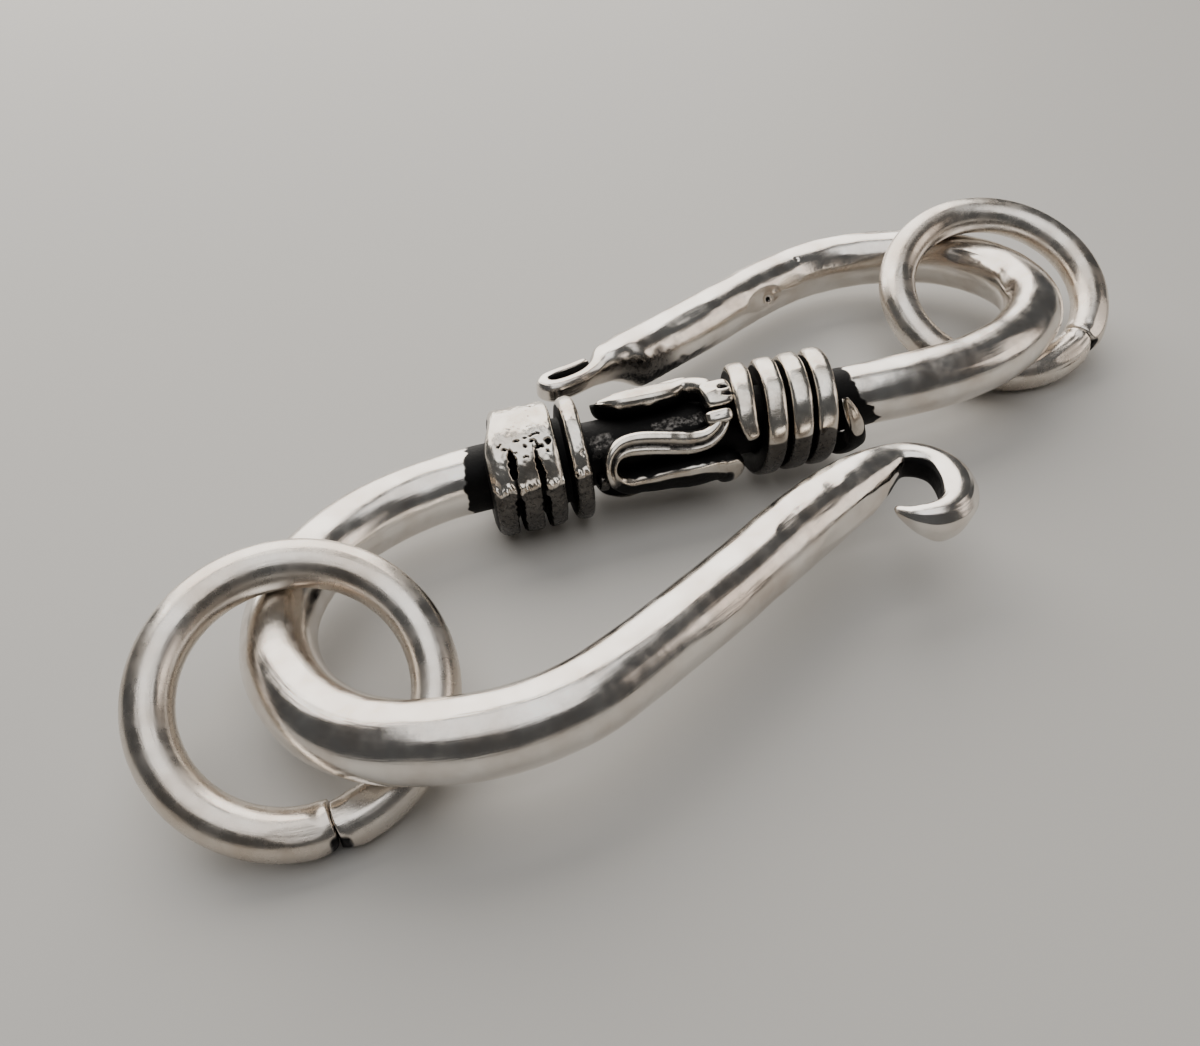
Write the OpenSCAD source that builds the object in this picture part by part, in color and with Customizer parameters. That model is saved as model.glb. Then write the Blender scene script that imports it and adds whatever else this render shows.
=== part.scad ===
// S-hook clasp with a wirework sleeve and two jump rings, in millimetres, at rest on the plane z = 0.
// The shaft lies along X, +Y is the far side of the clasp, +Z is up.

/* [Hook wire] */
// Diameter of the hook wire
wire_d = 2.4; // [2:0.05:2.4]
// Length of the straight shaft
shaft_length = 14.8; // [14.6:0.1:15]
// Rise of the shaft towards the right, in degrees
shaft_rise = 1.4; // [1.38:0.01:1.45]
// Roll of the hook's plane, near side up, in degrees
plane_roll = 3.68; // [3.64:0.01:3.75]
// Height of the shaft's middle above the surface
shaft_height = 2.51; // [2.505:0.005:2.52]

/* [Sleeve] */
// Outer radius of the collar
collar_r = 2.3; // [2.2:0.02:2.3]
// Thickness of the collar's wire
wrap_d = 0.88; // [0.8:0.02:0.9]
// Width of the coil's wire
coil_wire = 0.8; // [0.7:0.02:0.8]
// Width of the petals' wire
petal_wire = 0.8; // [0.7:0.02:0.82]
// Outer radius of the petals
petal_r = 2.1; // [2:0.02:2.14]
// Outer radius of the coil
coil_r = 2.18; // [2.1:0.02:2.2]
// Clearance between the sleeve and the shaft
sleeve_gap = 0.05; // [0.03:0.01:0.08]

/* [Rings] */
// Radius of a ring's centre line
ring_r = 4.11; // [4.09:0.01:4.12]
// Thickness of a ring's wire
ring_wire = 1.536; // [1.45:0.005:1.54]
// Width of the saw cut in a ring
ring_cut = 0.1; // [0.05:0.01:0.3]

/* [Hidden] */
round_fn = 96;
section_fn = 32;
wire_sides = 16;
wrap_sides = 10;
// Longest piece of a bend and its largest turn
bend_step = 1.05;
turn_step = 16;
// The tables of sections are for this wire
table_d = 2.4;
half_shaft = shaft_length / 2;
bore_r = wire_d / 2 + sleeve_gap;
// The shaft's middle, seen from the origin at the bottom centre of the whole
shaft_middle = [-0.578, 0.551, shaft_height];

// Bends of each half after the straight shaft. Columns: length of wire, turn in degrees to the left.
far_bends = [[3, 5], [3, 19], [3, 24], [3, 37], [3, 32], [3, 35], [3, 22], [3, 26], [3, 11], [4, -4],
             [2.5, 2], [1.5, 3], [1.5, -5], [1.22, -18], [0.61, -76], [0.62, -84], [0.8, -15], [1.1, 17]];
near_bends = [[3, 17], [3, 24], [3, 29], [3, 27], [3, 27], [3, 36], [3, 22], [3, 26], [3, 3],
              [5, 3], [4, -8], [1.4, -10], [1.2, -54], [1.2, -51], [1.4, -32], [1.6, -73], [1.1, -62]];
// Sections along each half. Columns: distance from the shaft's middle, half widths to the left and to the
// right of the path, height, lift, squareness.
far_sections = [[0, 1.2, 1.2, 2.4, 0, 0], [41.2, 1.2, 1.2, 2.4, 0, 0], [41.9, 0.84, 1.2, 2, 0.18, 0.08],
                [42.5, 0.7, 1.2, 1.6, 0.36, 0.1], [42.8, 0.58, 1.1, 1.4, 0.42, 0.15],
                [43.2, 0.42, 0.56, 1.06, 0.3, 0.3], [43.9, 0.33, 0.34, 0.78, 0.3, 0.4],
                [45.4, 0.46, 0.24, 0.8, 0.3, 0.4], [46.8, 0.3, 0.26, 0.68, 0.3, 0.4],
                [48, 0.26, 0.26, 0.66, 0.3, 0.4], [48.3, 0.16, 0.16, 0.46, 0.34, 0]];
near_sections = [[0, 1.2, 1.2, 2.4, 0, 0], [41.4, 1.2, 1.2, 2.4, 0, 0], [43.2, 1.12, 1.1, 2.15, 0.05, 0.1],
                 [44.2, 0.96, 0.9, 1.75, 0.15, 0.15], [44.8, 0.78, 0.66, 1.3, 0.28, 0.3],
                 [45.3, 0.66, 0.54, 1.1, 0.33, 0.4], [46.6, 0.6, 0.54, 1.1, 0.3, 0.5],
                 [47.6, 0.78, 0.56, 1.2, 0.22, 0.5], [49.2, 0.6, 0.54, 1.36, 0.12, 0.5],
                 [49.9, 0.52, 0.46, 1.4, 0.1, 0.45], [50.5, 0.36, 0.34, 0.9, 0.26, 0.3],
                 [51, 0.2, 0.2, 0.4, 0.36, 0], [51.3, 0.1, 0.1, 0.2, 0.38, 0]];

// Turns of the collar: position of each along the shaft
collar_turns = [-7.05, -6.16, -5.29, -4.22];
collar_span = [-7.5, -4.85];
collar_core = [2.12, 1.62];
// How far the bore's cutter stands out at both ends
cutter_reach = 1;

// One petal's centre line. Columns: position along the shaft, angle from the petal's middle, share of the
// wire's width, share of the petal's droop in degrees.
petal_line = [[1.36, -46, 0.72, 0], [1.1, -29, 0.78, 0], [0.78, -20, 0.85, 0], [0.38, -14.5, 0.92, 0],
              [-0.1, -13.5, 1, 0], [-0.6, -16.5, 1, 0], [-1.2, -21, 1, 0], [-2, -25.5, 1, 0],
              [-2.6, -25, 0.9, 0], [-3.02, -17, 0.75, 0], [-3.2, -2, 0.64, 0], [-3.02, 13, 0.72, 0],
              [-2.6, 22.5, 0.88, 0], [-2, 26.5, 1, 0], [-1.2, 26, 1, 0], [-0.4, 24.5, 1, 0],
              [0.2, 24, 0.95, 1], [0.65, 24.5, 0.92, 6], [1, 25.5, 0.85, 14], [1.24, 29, 0.78, 23]];
// Petals. Columns: angle of its middle from the top towards the near side, droop, spread of its lower
// strand in mm.
petals = [[-34.5, 1, 0], [82, 0.1, 0.45], [204.5, 0.6, 0]];
// The lower strand lies beyond this angle. A spread starts and is full at these positions along the shaft.
lower_strand = 13;
spread_span = [-2.2, 0.4];

// Centre line of the coil. Columns: angle wound, position along the shaft.
coil_line = [[0, 2.17], [20, 2.04], [40, 2.06], [80, 2.245], [440, 3.325], [800, 4.275], [1160, 5.225],
             [1260, 5.5], [1400, 6.22], [1430, 6.1], [1465, 5.72]];
// Width of the coil's wire. Columns: angle wound, share of its full width.
coil_widths = [[0, 0.5], [14, 0.8], [28, 0.92], [60, 1], [1160, 1], [1300, 0.95], [1412, 0.86],
               [1430, 0.72], [1448, 0.56], [1465, 0.3]];
// Lean of the coil's turns to the left on the near side. Columns: angle wound, lean.
coil_lean = [[0, 0.07], [1250, 0.07], [1400, 0]];
lean_from = 30;
coil_start = 80;
coil_step = 15;
coil_end = coil_line[len(coil_line) - 1][0];

// Rings. Columns: centre seen from the shaft and the surface, lean from level, direction of the lean,
// place of the saw cut.
near_place = [[-14.581, -8.752, 2.628], 26.9, -76.4, 355.5];
far_place = [[15.719, 5.614, 2.538], 25.5, -96.5, 43];
cut_block = ring_wire * 1.5;

// A walk along a table of bends, as [x, y, heading, distance]
function one_step(p, length, turn) =
    let (middle = p[2] + turn / 2)
    [p[0] + length * cos(middle), p[1] + length * sin(middle), p[2] + turn, p[3] + length];
function split_bends(bends) =
    [for (b = bends) let (n = max(1, ceil(max(b[0] / bend_step, abs(b[1]) / turn_step))))
        for (k = [1:n]) [b[0] / n, b[1] / n]];
function walk(start, steps) =
    [for (i = 0, p = start; i <= len(steps);
          p = i < len(steps) ? one_step(p, steps[i][0], steps[i][1]) : p, i = i + 1) p];
function half_path(bends, heading) =
    walk([0, 0, heading, 0],
         concat([for (k = [1:2]) [half_shaft / 2, 0]], split_bends(bends)));

// One ring of points of the hook wire at a station of the walk
function column(sections, k, distance) = lookup(distance, [for (s = sections) [s[0], s[k]]]);
function squared(c, squareness) = sign(c) * pow(abs(c), 1 - squareness);
function wire_section(p, sections, flip) =
    let (scale_up = wire_d / table_d,
         left = scale_up * column(sections, flip ? 2 : 1, p[3]),
         right = scale_up * column(sections, flip ? 1 : 2, p[3]),
         height = scale_up * column(sections, 3, p[3]),
         square = column(sections, 5, p[3]),
         heading = p[2] + (flip ? 180 : 0))
    [for (k = [0:wire_sides - 1])
        let (a = 360 * (k + 0.5) / wire_sides,
             side = (cos(a) > 0 ? left : right) * squared(cos(a), square))
        [p[0] - side * sin(heading), p[1] + side * cos(heading),
         height / 2 * squared(sin(a), square) + column(sections, 4, p[3])]];
function reversed(list) = [for (i = [len(list) - 1:-1:0]) list[i]];

// A tube through rings of points, closed at both ends or joined to itself
module skin(rings, sides, joined = false) {
    count = len(rings);
    last = joined ? count - 1 : count - 2;
    walls = [for (i = [0:last], k = [0:sides - 1])
        let (a = i * sides + k, b = i * sides + (k + 1) % sides, up = ((i + 1) % count) * sides)
        each [[a, b, up + k], [b, up + (k + 1) % sides, up + k]]];
    ends = joined ? [] :
        [reversed([for (k = [0:sides - 1]) k]), [for (k = [0:sides - 1]) (count - 1) * sides + k]];
    polyhedron(points = [for (r = rings) each r], faces = concat(walls, ends), convexity = 10);
}

// A point at a place along the shaft, an angle from the top towards the near side, and a radius
function round_shaft(x, angle, r) = [x, -r * sin(angle), r * cos(angle)];

// Rings of points of a thin wire laid on the shaft. Columns of a line: position, angle, width.
function laid_section(before, here, after, r_in, r_out) =
    let (r_mid = (r_in + r_out) / 2,
         along = round_shaft(after[0], after[1], r_mid) - round_shaft(before[0], before[1], r_mid),
         out = round_shaft(0, here[1], 1),
         across = cross(out, along) / norm(cross(out, along)),
         centre = round_shaft(here[0], here[1], r_mid))
    [for (k = [0:wrap_sides - 1]) let (a = -360 * (k + 0.5) / wrap_sides)
        centre + across * here[2] / 2 * cos(a) + out * (r_out - r_in) / 2 * sin(a)];

// A smooth curve through the closed line of petals. Columns of a point: position, angle, width of the wire.
function curve_at(a, b, c, d, t) =
    (2 * b + (c - a) * t + (2 * a - 5 * b + 4 * c - d) * t * t + (3 * b - a - 3 * c + d) * t * t * t) / 2;
function spread_at(p, petal) =
    p[1] > lower_strand ? petal[2] * lookup(p[0], [[spread_span[0], 0], [spread_span[1], 1]]) : 0;
function petal_point(i) =
    let (n = len(petal_line), whole = floor(i / n), turn = floor(whole / len(petals)),
         p = petal_line[i - whole * n],
         petal = petals[whole - turn * len(petals)],
         spread = spread_at(p, petal),
         shift = petal[1] * p[3] + spread / 2 / petal_r * 180 / PI)
    [p[0], p[1] + petal[0] + shift + 360 * turn, petal_wire * p[2] + spread];
function petal_curve() =
    [for (i = [0:len(petal_line) * len(petals) - 1], t = [0, 0.5])
        curve_at(petal_point(i - 1), petal_point(i), petal_point(i + 1), petal_point(i + 2), t)];

// Everything on the hook is placed from the shaft's middle
module hook_place() {
    translate(shaft_middle) rotate([-plane_roll, -shaft_rise, 0]) children();
}

module s_wire() {
    far = [for (p = half_path(far_bends, 0)) wire_section(p, far_sections, false)];
    near = [for (p = half_path(near_bends, 180)) wire_section(p, near_sections, true)];
    near_back = reversed([for (i = [1:len(near) - 1]) near[i]]);
    color([0.8, 0.79, 0.77]) hook_place() skin(concat(near_back, far), wire_sides);
}

module collar_turn(x) {
    translate([x, 0, 0]) rotate([0, 90, 0])
        rotate_extrude($fn = round_fn)
            translate([collar_r - wrap_d / 2, 0]) circle(d = wrap_d, $fn = section_fn);
}

module wrapped_collar() {
    color([0.7, 0.69, 0.66]) hook_place() difference() {
        union() {
            for (x = collar_turns) collar_turn(x);
            translate([collar_span[0], 0, 0]) rotate([0, 90, 0])
                cylinder(r = collar_core[0], h = collar_span[1] - collar_span[0], $fn = round_fn);
            translate([collar_span[0], 0, 0]) rotate([0, 90, 0])
                cylinder(r = collar_core[1], h = collar_turns[3] - collar_span[0], $fn = round_fn);
        }
        translate([collar_span[0] - cutter_reach, 0, 0]) rotate([0, 90, 0])
            cylinder(r = bore_r, h = collar_turns[3] - collar_span[0] + 2 * cutter_reach, $fn = round_fn);
    }
}

module petal_wrap() {
    line = petal_curve();
    count = len(line);
    rings = [for (i = [0:count - 1])
        let (before = line[(i + count - 1) % count] - [0, i == 0 ? 360 : 0, 0],
             after = line[(i + 1) % count] + [0, i == count - 1 ? 360 : 0, 0])
        laid_section(before, line[i], after, bore_r, petal_r)];
    color([0.75, 0.74, 0.7]) hook_place() skin(rings, wrap_sides, joined = true);
}

module coil_wrap() {
    wound = [for (t = [-coil_step:coil_step:coil_end]) t];
    line = [for (t = concat(wound, [coil_end, coil_end + coil_step]))
        [lookup(t, coil_line) - lookup(t, coil_lean) * sin(coil_start - t - lean_from), coil_start - t,
         coil_wire * lookup(t, coil_widths)]];
    rings = [for (i = [1:len(line) - 2]) laid_section(line[i - 1], line[i], line[i + 1], bore_r, coil_r)];
    color([0.78, 0.77, 0.74]) hook_place() skin(rings, wrap_sides);
}

module jump_ring(place) {
    translate([shaft_middle[0], shaft_middle[1], 0] + place[0]) rotate([0, place[1], place[2]])
        rotate([0, 0, place[3]]) difference() {
            rotate_extrude($fn = round_fn)
                translate([ring_r, 0]) circle(d = ring_wire, $fn = section_fn);
            translate([ring_r, 0, 0]) cube([cut_block, ring_cut, cut_block], center = true);
        }
}

module near_ring() {
    color([0.72, 0.7, 0.68]) jump_ring(near_place);
}

module far_ring() {
    color([0.72, 0.7, 0.68]) jump_ring(far_place);
}

s_wire();
wrapped_collar();
petal_wrap();
coil_wrap();
near_ring();
far_ring();
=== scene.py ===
"""Finished look of the S-hook clasp: hook wire, wirework sleeve and two jump rings.

Every mesh is shaped in millimetres in the clasp's own frame and scaled to metres as its last step.
"""

import logging
import math
from collections.abc import Sequence
from dataclasses import dataclass, field
from enum import Enum

import bpy
import numpy as np
from mathutils import Matrix, Vector

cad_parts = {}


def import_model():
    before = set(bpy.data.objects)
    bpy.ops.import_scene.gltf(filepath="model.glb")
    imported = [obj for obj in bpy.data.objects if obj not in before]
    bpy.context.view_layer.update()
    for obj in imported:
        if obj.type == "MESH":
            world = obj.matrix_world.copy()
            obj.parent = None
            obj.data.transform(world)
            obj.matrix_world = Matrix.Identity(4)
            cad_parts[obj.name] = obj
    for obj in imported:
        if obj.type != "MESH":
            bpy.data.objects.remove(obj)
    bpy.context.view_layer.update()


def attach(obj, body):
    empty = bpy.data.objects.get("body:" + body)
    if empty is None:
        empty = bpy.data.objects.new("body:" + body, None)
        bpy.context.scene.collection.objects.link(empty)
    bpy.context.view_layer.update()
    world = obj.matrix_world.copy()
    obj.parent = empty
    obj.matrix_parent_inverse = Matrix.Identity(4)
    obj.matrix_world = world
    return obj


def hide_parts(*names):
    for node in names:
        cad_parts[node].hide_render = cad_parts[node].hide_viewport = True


LOG = logging.getLogger("clasp")
MM = 0.001

# Half the hook wire's thickness, the reach of a weld and the width of a face that counts as empty, in mm.
HOOK_RADIUS = 1.2
WELD_REACH = 0.0015
EMPTY_FACE = 0.0005

# One number for all places or one for each, and a table's rows of a place and the value there.
Amount = np.ndarray | float
Table = list[tuple[float, float]]


# Colours and shader nodes


def linear(hex_colour: str) -> tuple[float, float, float, float]:
    """Turns an sRGB hex colour into linear red, green, blue and alpha.

    Args:
        hex_colour: Colour such as "#e8e2da".

    Returns:
        Linear colour with full alpha.
    """
    parts = [int(hex_colour[i:i + 2], 16) / 255.0 for i in (1, 3, 5)]
    mixed = [c / 12.92 if c <= 0.04045 else ((c + 0.055) / 1.055) ** 2.4 for c in parts]
    return (mixed[0], mixed[1], mixed[2], 1.0)


def add_node(material: bpy.types.Material, kind: str, settings: dict | None = None,
             links: dict | None = None) -> bpy.types.ShaderNode:
    """Adds one shader node with its settings and incoming links.

    Args:
        material: Material that gets the node.
        kind: Node type, such as "ShaderNodeTexNoise".
        settings: Values by attribute name or, with a leading "in:", by input name or number.
        links: Output sockets by the name or number of the input that they feed.

    Returns:
        The new node.
    """
    node = material.node_tree.nodes.new(kind)
    for name, value in (settings or {}).items():
        if name.startswith("in:"):
            key = name[3:]
            node.inputs[int(key) if key.isdigit() else key].default_value = value
        else:
            setattr(node, name, value)
    for name, socket in (links or {}).items():
        material.node_tree.links.new(socket, node.inputs[name])
    return node


def ramp_of(node: bpy.types.ShaderNode, stops: list[tuple[float, str]]) -> None:
    """Sets a colour ramp's stops.

    Args:
        node: Colour ramp node.
        stops: Positions with their hex colours, in order.
    """
    elements = node.color_ramp.elements
    while len(elements) < len(stops):
        elements.new(0.5)
    for element, (position, colour) in zip(elements, stops):
        element.position = position
        element.color = linear(colour)


@dataclass(frozen=True)
class SilverFinish:
    """Worked silver: the tarnish attribute holds oxide and painted shade; it first veils the metal with a
    dark film, then turns it black.

    Polishing leaves long soft waves and fine hairlines, drawing leaves streaks along the wire, and liver
    of sulphur leaves black in the hollows. The hairlines and the grit are drawn coarser than real ones, so
    that they show.
    """

    name: str
    bright: str = "#f0ebe4"
    warm: str = "#d8cdc2"
    # The veil and oxide colours darken the painted shade as well as the real oxide.
    veil: str = "#5c5956"
    oxide: str = "#080707"
    roughness: float = 0.17
    oxide_roughness: float = 0.55
    oxide_metallic: float = 0.25
    specular: float = 0.2
    veil_range: tuple[float, float] = (0.08, 0.4)
    oxide_range: tuple[float, float] = (0.36, 0.62)
    grit_share: float = 0.9
    grain_mm: float = 0.55
    grains_per_cloud: float = 3.0
    grains_per_wave: float = 1.6
    hairline_mm: float = 0.09
    oxide_grit_mm: float = 0.14
    wave_depth_mm: float = 0.006
    hairline_depth_mm: float = 0.0012
    oxide_grit_depth_mm: float = 0.02
    draw_scale: tuple[float, float, float] = (0.22, 2.6, 2.6)
    draw_depth_mm: float = 0.012

    def build(self) -> bpy.types.Material:
        """Makes the material.

        Returns:
            Material that reads Object coordinates and the piece's tarnish and lay attributes.
        """
        material = bpy.data.materials.new(self.name)
        material.use_nodes = True
        material.node_tree.nodes.clear()
        place = add_node(material, "ShaderNodeTexCoord").outputs["Object"]
        film = add_node(material, "ShaderNodeAttribute", {"attribute_name": "tarnish_and_shade"}).outputs["Fac"]
        grit = add_node(
            material, "ShaderNodeTexNoise",
            {"in:Scale": 1.0 / (self.oxide_grit_mm * MM), "in:Detail": 5.0, "in:Roughness": 0.65},
            {"Vector": place}).outputs["Fac"]
        black = self.blackness(material, film, grit)
        colour = self.colour(material, place, film, black)
        metal = add_node(
            material, "ShaderNodeMapRange", {"in:To Min": 1.0, "in:To Max": self.oxide_metallic},
            {"Value": black}).outputs["Result"]
        dull = self.dullness(material, place, black)
        relief = self.relief(material, place, grit, black)
        shader = add_node(
            material, "ShaderNodeBsdfPrincipled", {"in:Specular IOR Level": self.specular},
            {"Base Color": colour, "Metallic": metal, "Roughness": dull, "Normal": relief})
        add_node(material, "ShaderNodeOutputMaterial", {}, {"Surface": shader.outputs[0]})
        return material

    def blackness(self, material: bpy.types.Material, film: bpy.types.NodeSocket,
                  grit: bpy.types.NodeSocket) -> bpy.types.NodeSocket:
        """Turns the tarnish and the painted shade into black with a gritty edge.

        Args:
            material: Material that gets the nodes.
            film: Tarnish and painted shade of the piece, 0 to 1.
            grit: Fine noise that breaks up the edge.

        Returns:
            Black oxide, 0 to 1.
        """
        uneven = add_node(
            material, "ShaderNodeMath",
            {"operation": "MULTIPLY_ADD", "in:1": self.grit_share, "in:2": -self.grit_share / 2.0},
            {0: grit}).outputs[0]
        depth = add_node(
            material, "ShaderNodeMath", {"operation": "ADD"}, {0: film, 1: uneven}).outputs[0]
        return add_node(
            material, "ShaderNodeMapRange",
            {"interpolation_type": "SMOOTHSTEP", "in:From Min": self.oxide_range[0],
             "in:From Max": self.oxide_range[1]},
            {"Value": depth}).outputs["Result"]

    def colour(self, material: bpy.types.Material, place: bpy.types.NodeSocket, film: bpy.types.NodeSocket,
               black: bpy.types.NodeSocket) -> bpy.types.NodeSocket:
        """Clouds the silver between its two tints, veils it and blackens it.

        Args:
            material: Material that gets the nodes.
            place: Object coordinates.
            film: Tarnish and painted shade of the piece, 0 to 1.
            black: Black oxide, 0 to 1.

        Returns:
            Base colour.
        """
        cloud = add_node(
            material, "ShaderNodeTexNoise",
            {"in:Scale": 1.0 / (self.grain_mm * MM * self.grains_per_cloud), "in:Detail": 4.0,
             "in:Roughness": 0.55},
            {"Vector": place}).outputs["Fac"]
        tint = add_node(material, "ShaderNodeValToRGB", {}, {"Fac": cloud})
        ramp_of(tint, [(0.32, self.warm), (0.62, self.bright)])
        thin = add_node(
            material, "ShaderNodeMapRange",
            {"interpolation_type": "SMOOTHSTEP", "in:From Min": self.veil_range[0],
             "in:From Max": self.veil_range[1]},
            {"Value": film}).outputs["Result"]
        veiled = add_node(
            material, "ShaderNodeMix", {"data_type": "RGBA", "in:7": linear(self.veil)},
            {0: thin, 6: tint.outputs["Color"]}).outputs[2]
        return add_node(
            material, "ShaderNodeMix", {"data_type": "RGBA", "in:7": linear(self.oxide)},
            {0: black, 6: veiled}).outputs[2]

    def dullness(self, material: bpy.types.Material, place: bpy.types.NodeSocket,
                 black: bpy.types.NodeSocket) -> bpy.types.NodeSocket:
        """Varies the polish and makes the oxide matt.

        Args:
            material: Material that gets the nodes.
            place: Object coordinates.
            black: Black oxide, 0 to 1.

        Returns:
            Roughness.
        """
        shine = add_node(
            material, "ShaderNodeTexNoise",
            {"in:Scale": 1.0 / (self.grain_mm * MM), "in:Detail": 6.0, "in:Roughness": 0.6},
            {"Vector": place}).outputs["Fac"]
        polish = add_node(
            material, "ShaderNodeMapRange",
            {"in:From Min": 0.3, "in:From Max": 0.7, "in:To Min": self.roughness * 0.7,
             "in:To Max": self.roughness * 1.6},
            {"Value": shine}).outputs["Result"]
        return add_node(
            material, "ShaderNodeMix", {"data_type": "FLOAT", "in:3": self.oxide_roughness},
            {0: black, 2: polish}).outputs[0]

    def relief(self, material: bpy.types.Material, place: bpy.types.NodeSocket, grit: bpy.types.NodeSocket,
               black: bpy.types.NodeSocket) -> bpy.types.NodeSocket:
        """Stacks the waves, the hairlines, the drawing streaks and the oxide's grit.

        Args:
            material: Material that gets the nodes.
            place: Object coordinates.
            grit: Fine noise of the oxide.
            black: Black oxide, 0 to 1.

        Returns:
            Normal.
        """
        waves = add_node(
            material, "ShaderNodeTexNoise",
            {"in:Scale": 1.0 / (self.grain_mm * MM * self.grains_per_wave), "in:Detail": 3.0,
             "in:Roughness": 0.5, "in:Distortion": 0.4},
            {"Vector": place}).outputs["Fac"]
        lines = add_node(
            material, "ShaderNodeTexNoise",
            {"in:Scale": 1.0 / (self.hairline_mm * MM), "in:Detail": 4.0, "in:Roughness": 0.7},
            {"Vector": place}).outputs["Fac"]
        wavy = add_node(
            material, "ShaderNodeBump", {"in:Strength": 1.0, "in:Distance": self.wave_depth_mm * MM},
            {"Height": waves}).outputs[0]
        fine = add_node(
            material, "ShaderNodeBump", {"in:Strength": 1.0, "in:Distance": self.hairline_depth_mm * MM},
            {"Height": lines, "Normal": wavy}).outputs[0]
        lay = add_node(material, "ShaderNodeAttribute", {"attribute_name": "lay"}).outputs["Vector"]
        drawn = add_node(
            material, "ShaderNodeMapping", {"in:Scale": self.draw_scale}, {"Vector": lay}).outputs[0]
        marks = add_node(
            material, "ShaderNodeTexNoise", {"in:Scale": 1.0, "in:Detail": 5.0, "in:Roughness": 0.62},
            {"Vector": drawn}).outputs["Fac"]
        streaked = add_node(
            material, "ShaderNodeBump", {"in:Strength": 1.0, "in:Distance": self.draw_depth_mm * MM},
            {"Height": marks, "Normal": fine}).outputs[0]
        return add_node(
            material, "ShaderNodeBump", {"in:Distance": self.oxide_grit_depth_mm * MM},
            {"Height": grit, "Strength": black, "Normal": streaked}).outputs[0]


# Shapes of wire


def smooth(low: Amount, high: Amount, value: Amount) -> np.ndarray:
    """Rises smoothly from 0 at low to 1 at high."""
    part = np.clip((value - low) / (high - low), 0.0, 1.0)
    return part * part * (3.0 - 2.0 * part)


def hump(value: Amount, centre: Amount, half_width: Amount) -> np.ndarray:
    """Soft bump of height 1 at centre that fades over about twice half_width."""
    return np.exp(-((value - centre) / half_width) ** 2)


def wrapped(angle: np.ndarray) -> np.ndarray:
    """Brings angles in degrees into -180 to 180."""
    return (angle + 180.0) % 360.0 - 180.0


def softened(values: np.ndarray, reach: int) -> np.ndarray:
    """Evens out a row of values over some neighbours to each side."""
    kernel = np.hanning(2 * reach + 1)
    return np.convolve(np.pad(values, reach, mode="edge"), kernel / kernel.sum(), mode="valid")


def signed_power(value: np.ndarray, power: Amount) -> np.ndarray:
    """Raises the size of a value to a power and keeps its sign."""
    return np.sign(value) * np.abs(value) ** power


def from_table(table: Table, places: np.ndarray) -> np.ndarray:
    """Reads a table at some places, in straight lines between its rows."""
    return np.interp(places, [row[0] for row in table], [row[1] for row in table])


def rounded_end(end: np.ndarray, reach: Amount) -> np.ndarray:
    """Share of a wire's full section at a distance from its end, which is rounded over a reach."""
    return np.sqrt(np.clip(1.0 - (1.0 - np.clip(end / reach, 0.0, 1.0)) ** 2, 0.0, 1.0))


@dataclass(frozen=True)
class Ripple:
    """Hand-worked unevenness: a sum of waves along and round a wire, always the same for one seed."""

    seed: int
    height: float
    length: float
    waves: int = 14
    around: int = 3
    lengths: tuple[float, float] = (0.6, 2.2)

    def at(self, along: np.ndarray, angle: np.ndarray) -> np.ndarray:
        """Height of the ripple.

        Args:
            along: Distance along the wire in mm.
            angle: Angle round the wire in degrees.

        Returns:
            Height at each place, in the unit of the ripple's height.
        """
        dice = np.random.default_rng(self.seed)
        total = np.zeros(np.broadcast(along, angle).shape)
        for _ in range(self.waves):
            length = self.length * dice.uniform(*self.lengths)
            turns = int(dice.integers(-self.around, self.around + 1))
            start = dice.uniform(0.0, 2.0 * math.pi)
            total += np.sin(2.0 * math.pi * along / length + turns * np.radians(angle) + start)
        return total * self.height / math.sqrt(self.waves)


def vertex_places(mesh: bpy.types.Mesh) -> np.ndarray:
    """Reads where a mesh's vertices are.

    Args:
        mesh: Mesh to read.

    Returns:
        One row for each vertex.
    """
    flat = np.empty(len(mesh.vertices) * 3)
    mesh.vertices.foreach_get("co", flat)
    return flat.reshape(-1, 3)


def dress_vertices(mesh: bpy.types.Mesh, places: np.ndarray, marks: dict[str, np.ndarray]) -> None:
    """Moves a mesh's vertices and gives them attributes.

    Args:
        mesh: Mesh to change.
        places: New places, one row for each vertex.
        marks: A number or a row of three for each vertex, by the attribute's name.
    """
    mesh.vertices.foreach_set("co", places.astype(np.float32).ravel())
    for name, values in marks.items():
        kind, key = ("FLOAT_VECTOR", "vector") if values.ndim == 2 else ("FLOAT", "value")
        layer = mesh.attributes.new(name, kind, "POINT")
        layer.data.foreach_set(key, values.astype(np.float32).ravel())


def close_up(weld: bool) -> None:
    """Turns the active mesh's faces outwards and shades them smooth.

    Args:
        weld: Whether its seam is welded and its empty faces are dropped first.
    """
    bpy.ops.object.mode_set(mode="EDIT")
    bpy.ops.mesh.select_all(action="SELECT")
    if weld:
        bpy.ops.mesh.remove_doubles(threshold=WELD_REACH)
        bpy.ops.mesh.dissolve_degenerate(threshold=EMPTY_FACE)
    bpy.ops.mesh.normals_make_consistent(inside=False)
    bpy.ops.object.mode_set(mode="OBJECT")
    bpy.ops.object.shade_smooth()


@dataclass(frozen=True)
class Sheet:
    """A flat sheet before it is rolled: faces along and round it, and its real size in mm."""

    along: int
    around: int
    length: float
    girth: float

    def lay(self, s: np.ndarray, t: np.ndarray) -> np.ndarray:
        """Coordinates that follow the metal's lay, without a seam.

        Args:
            s: Share of the sheet's length, 0 to 1.
            t: Share of its girth, 0 to 1.

        Returns:
            Coordinates in mm, one row for each place.
        """
        r = self.girth / (2.0 * math.pi)
        turn = 2.0 * math.pi * t
        return np.stack([s * self.length, r * np.cos(turn), r * np.sin(turn)], axis=1)


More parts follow.
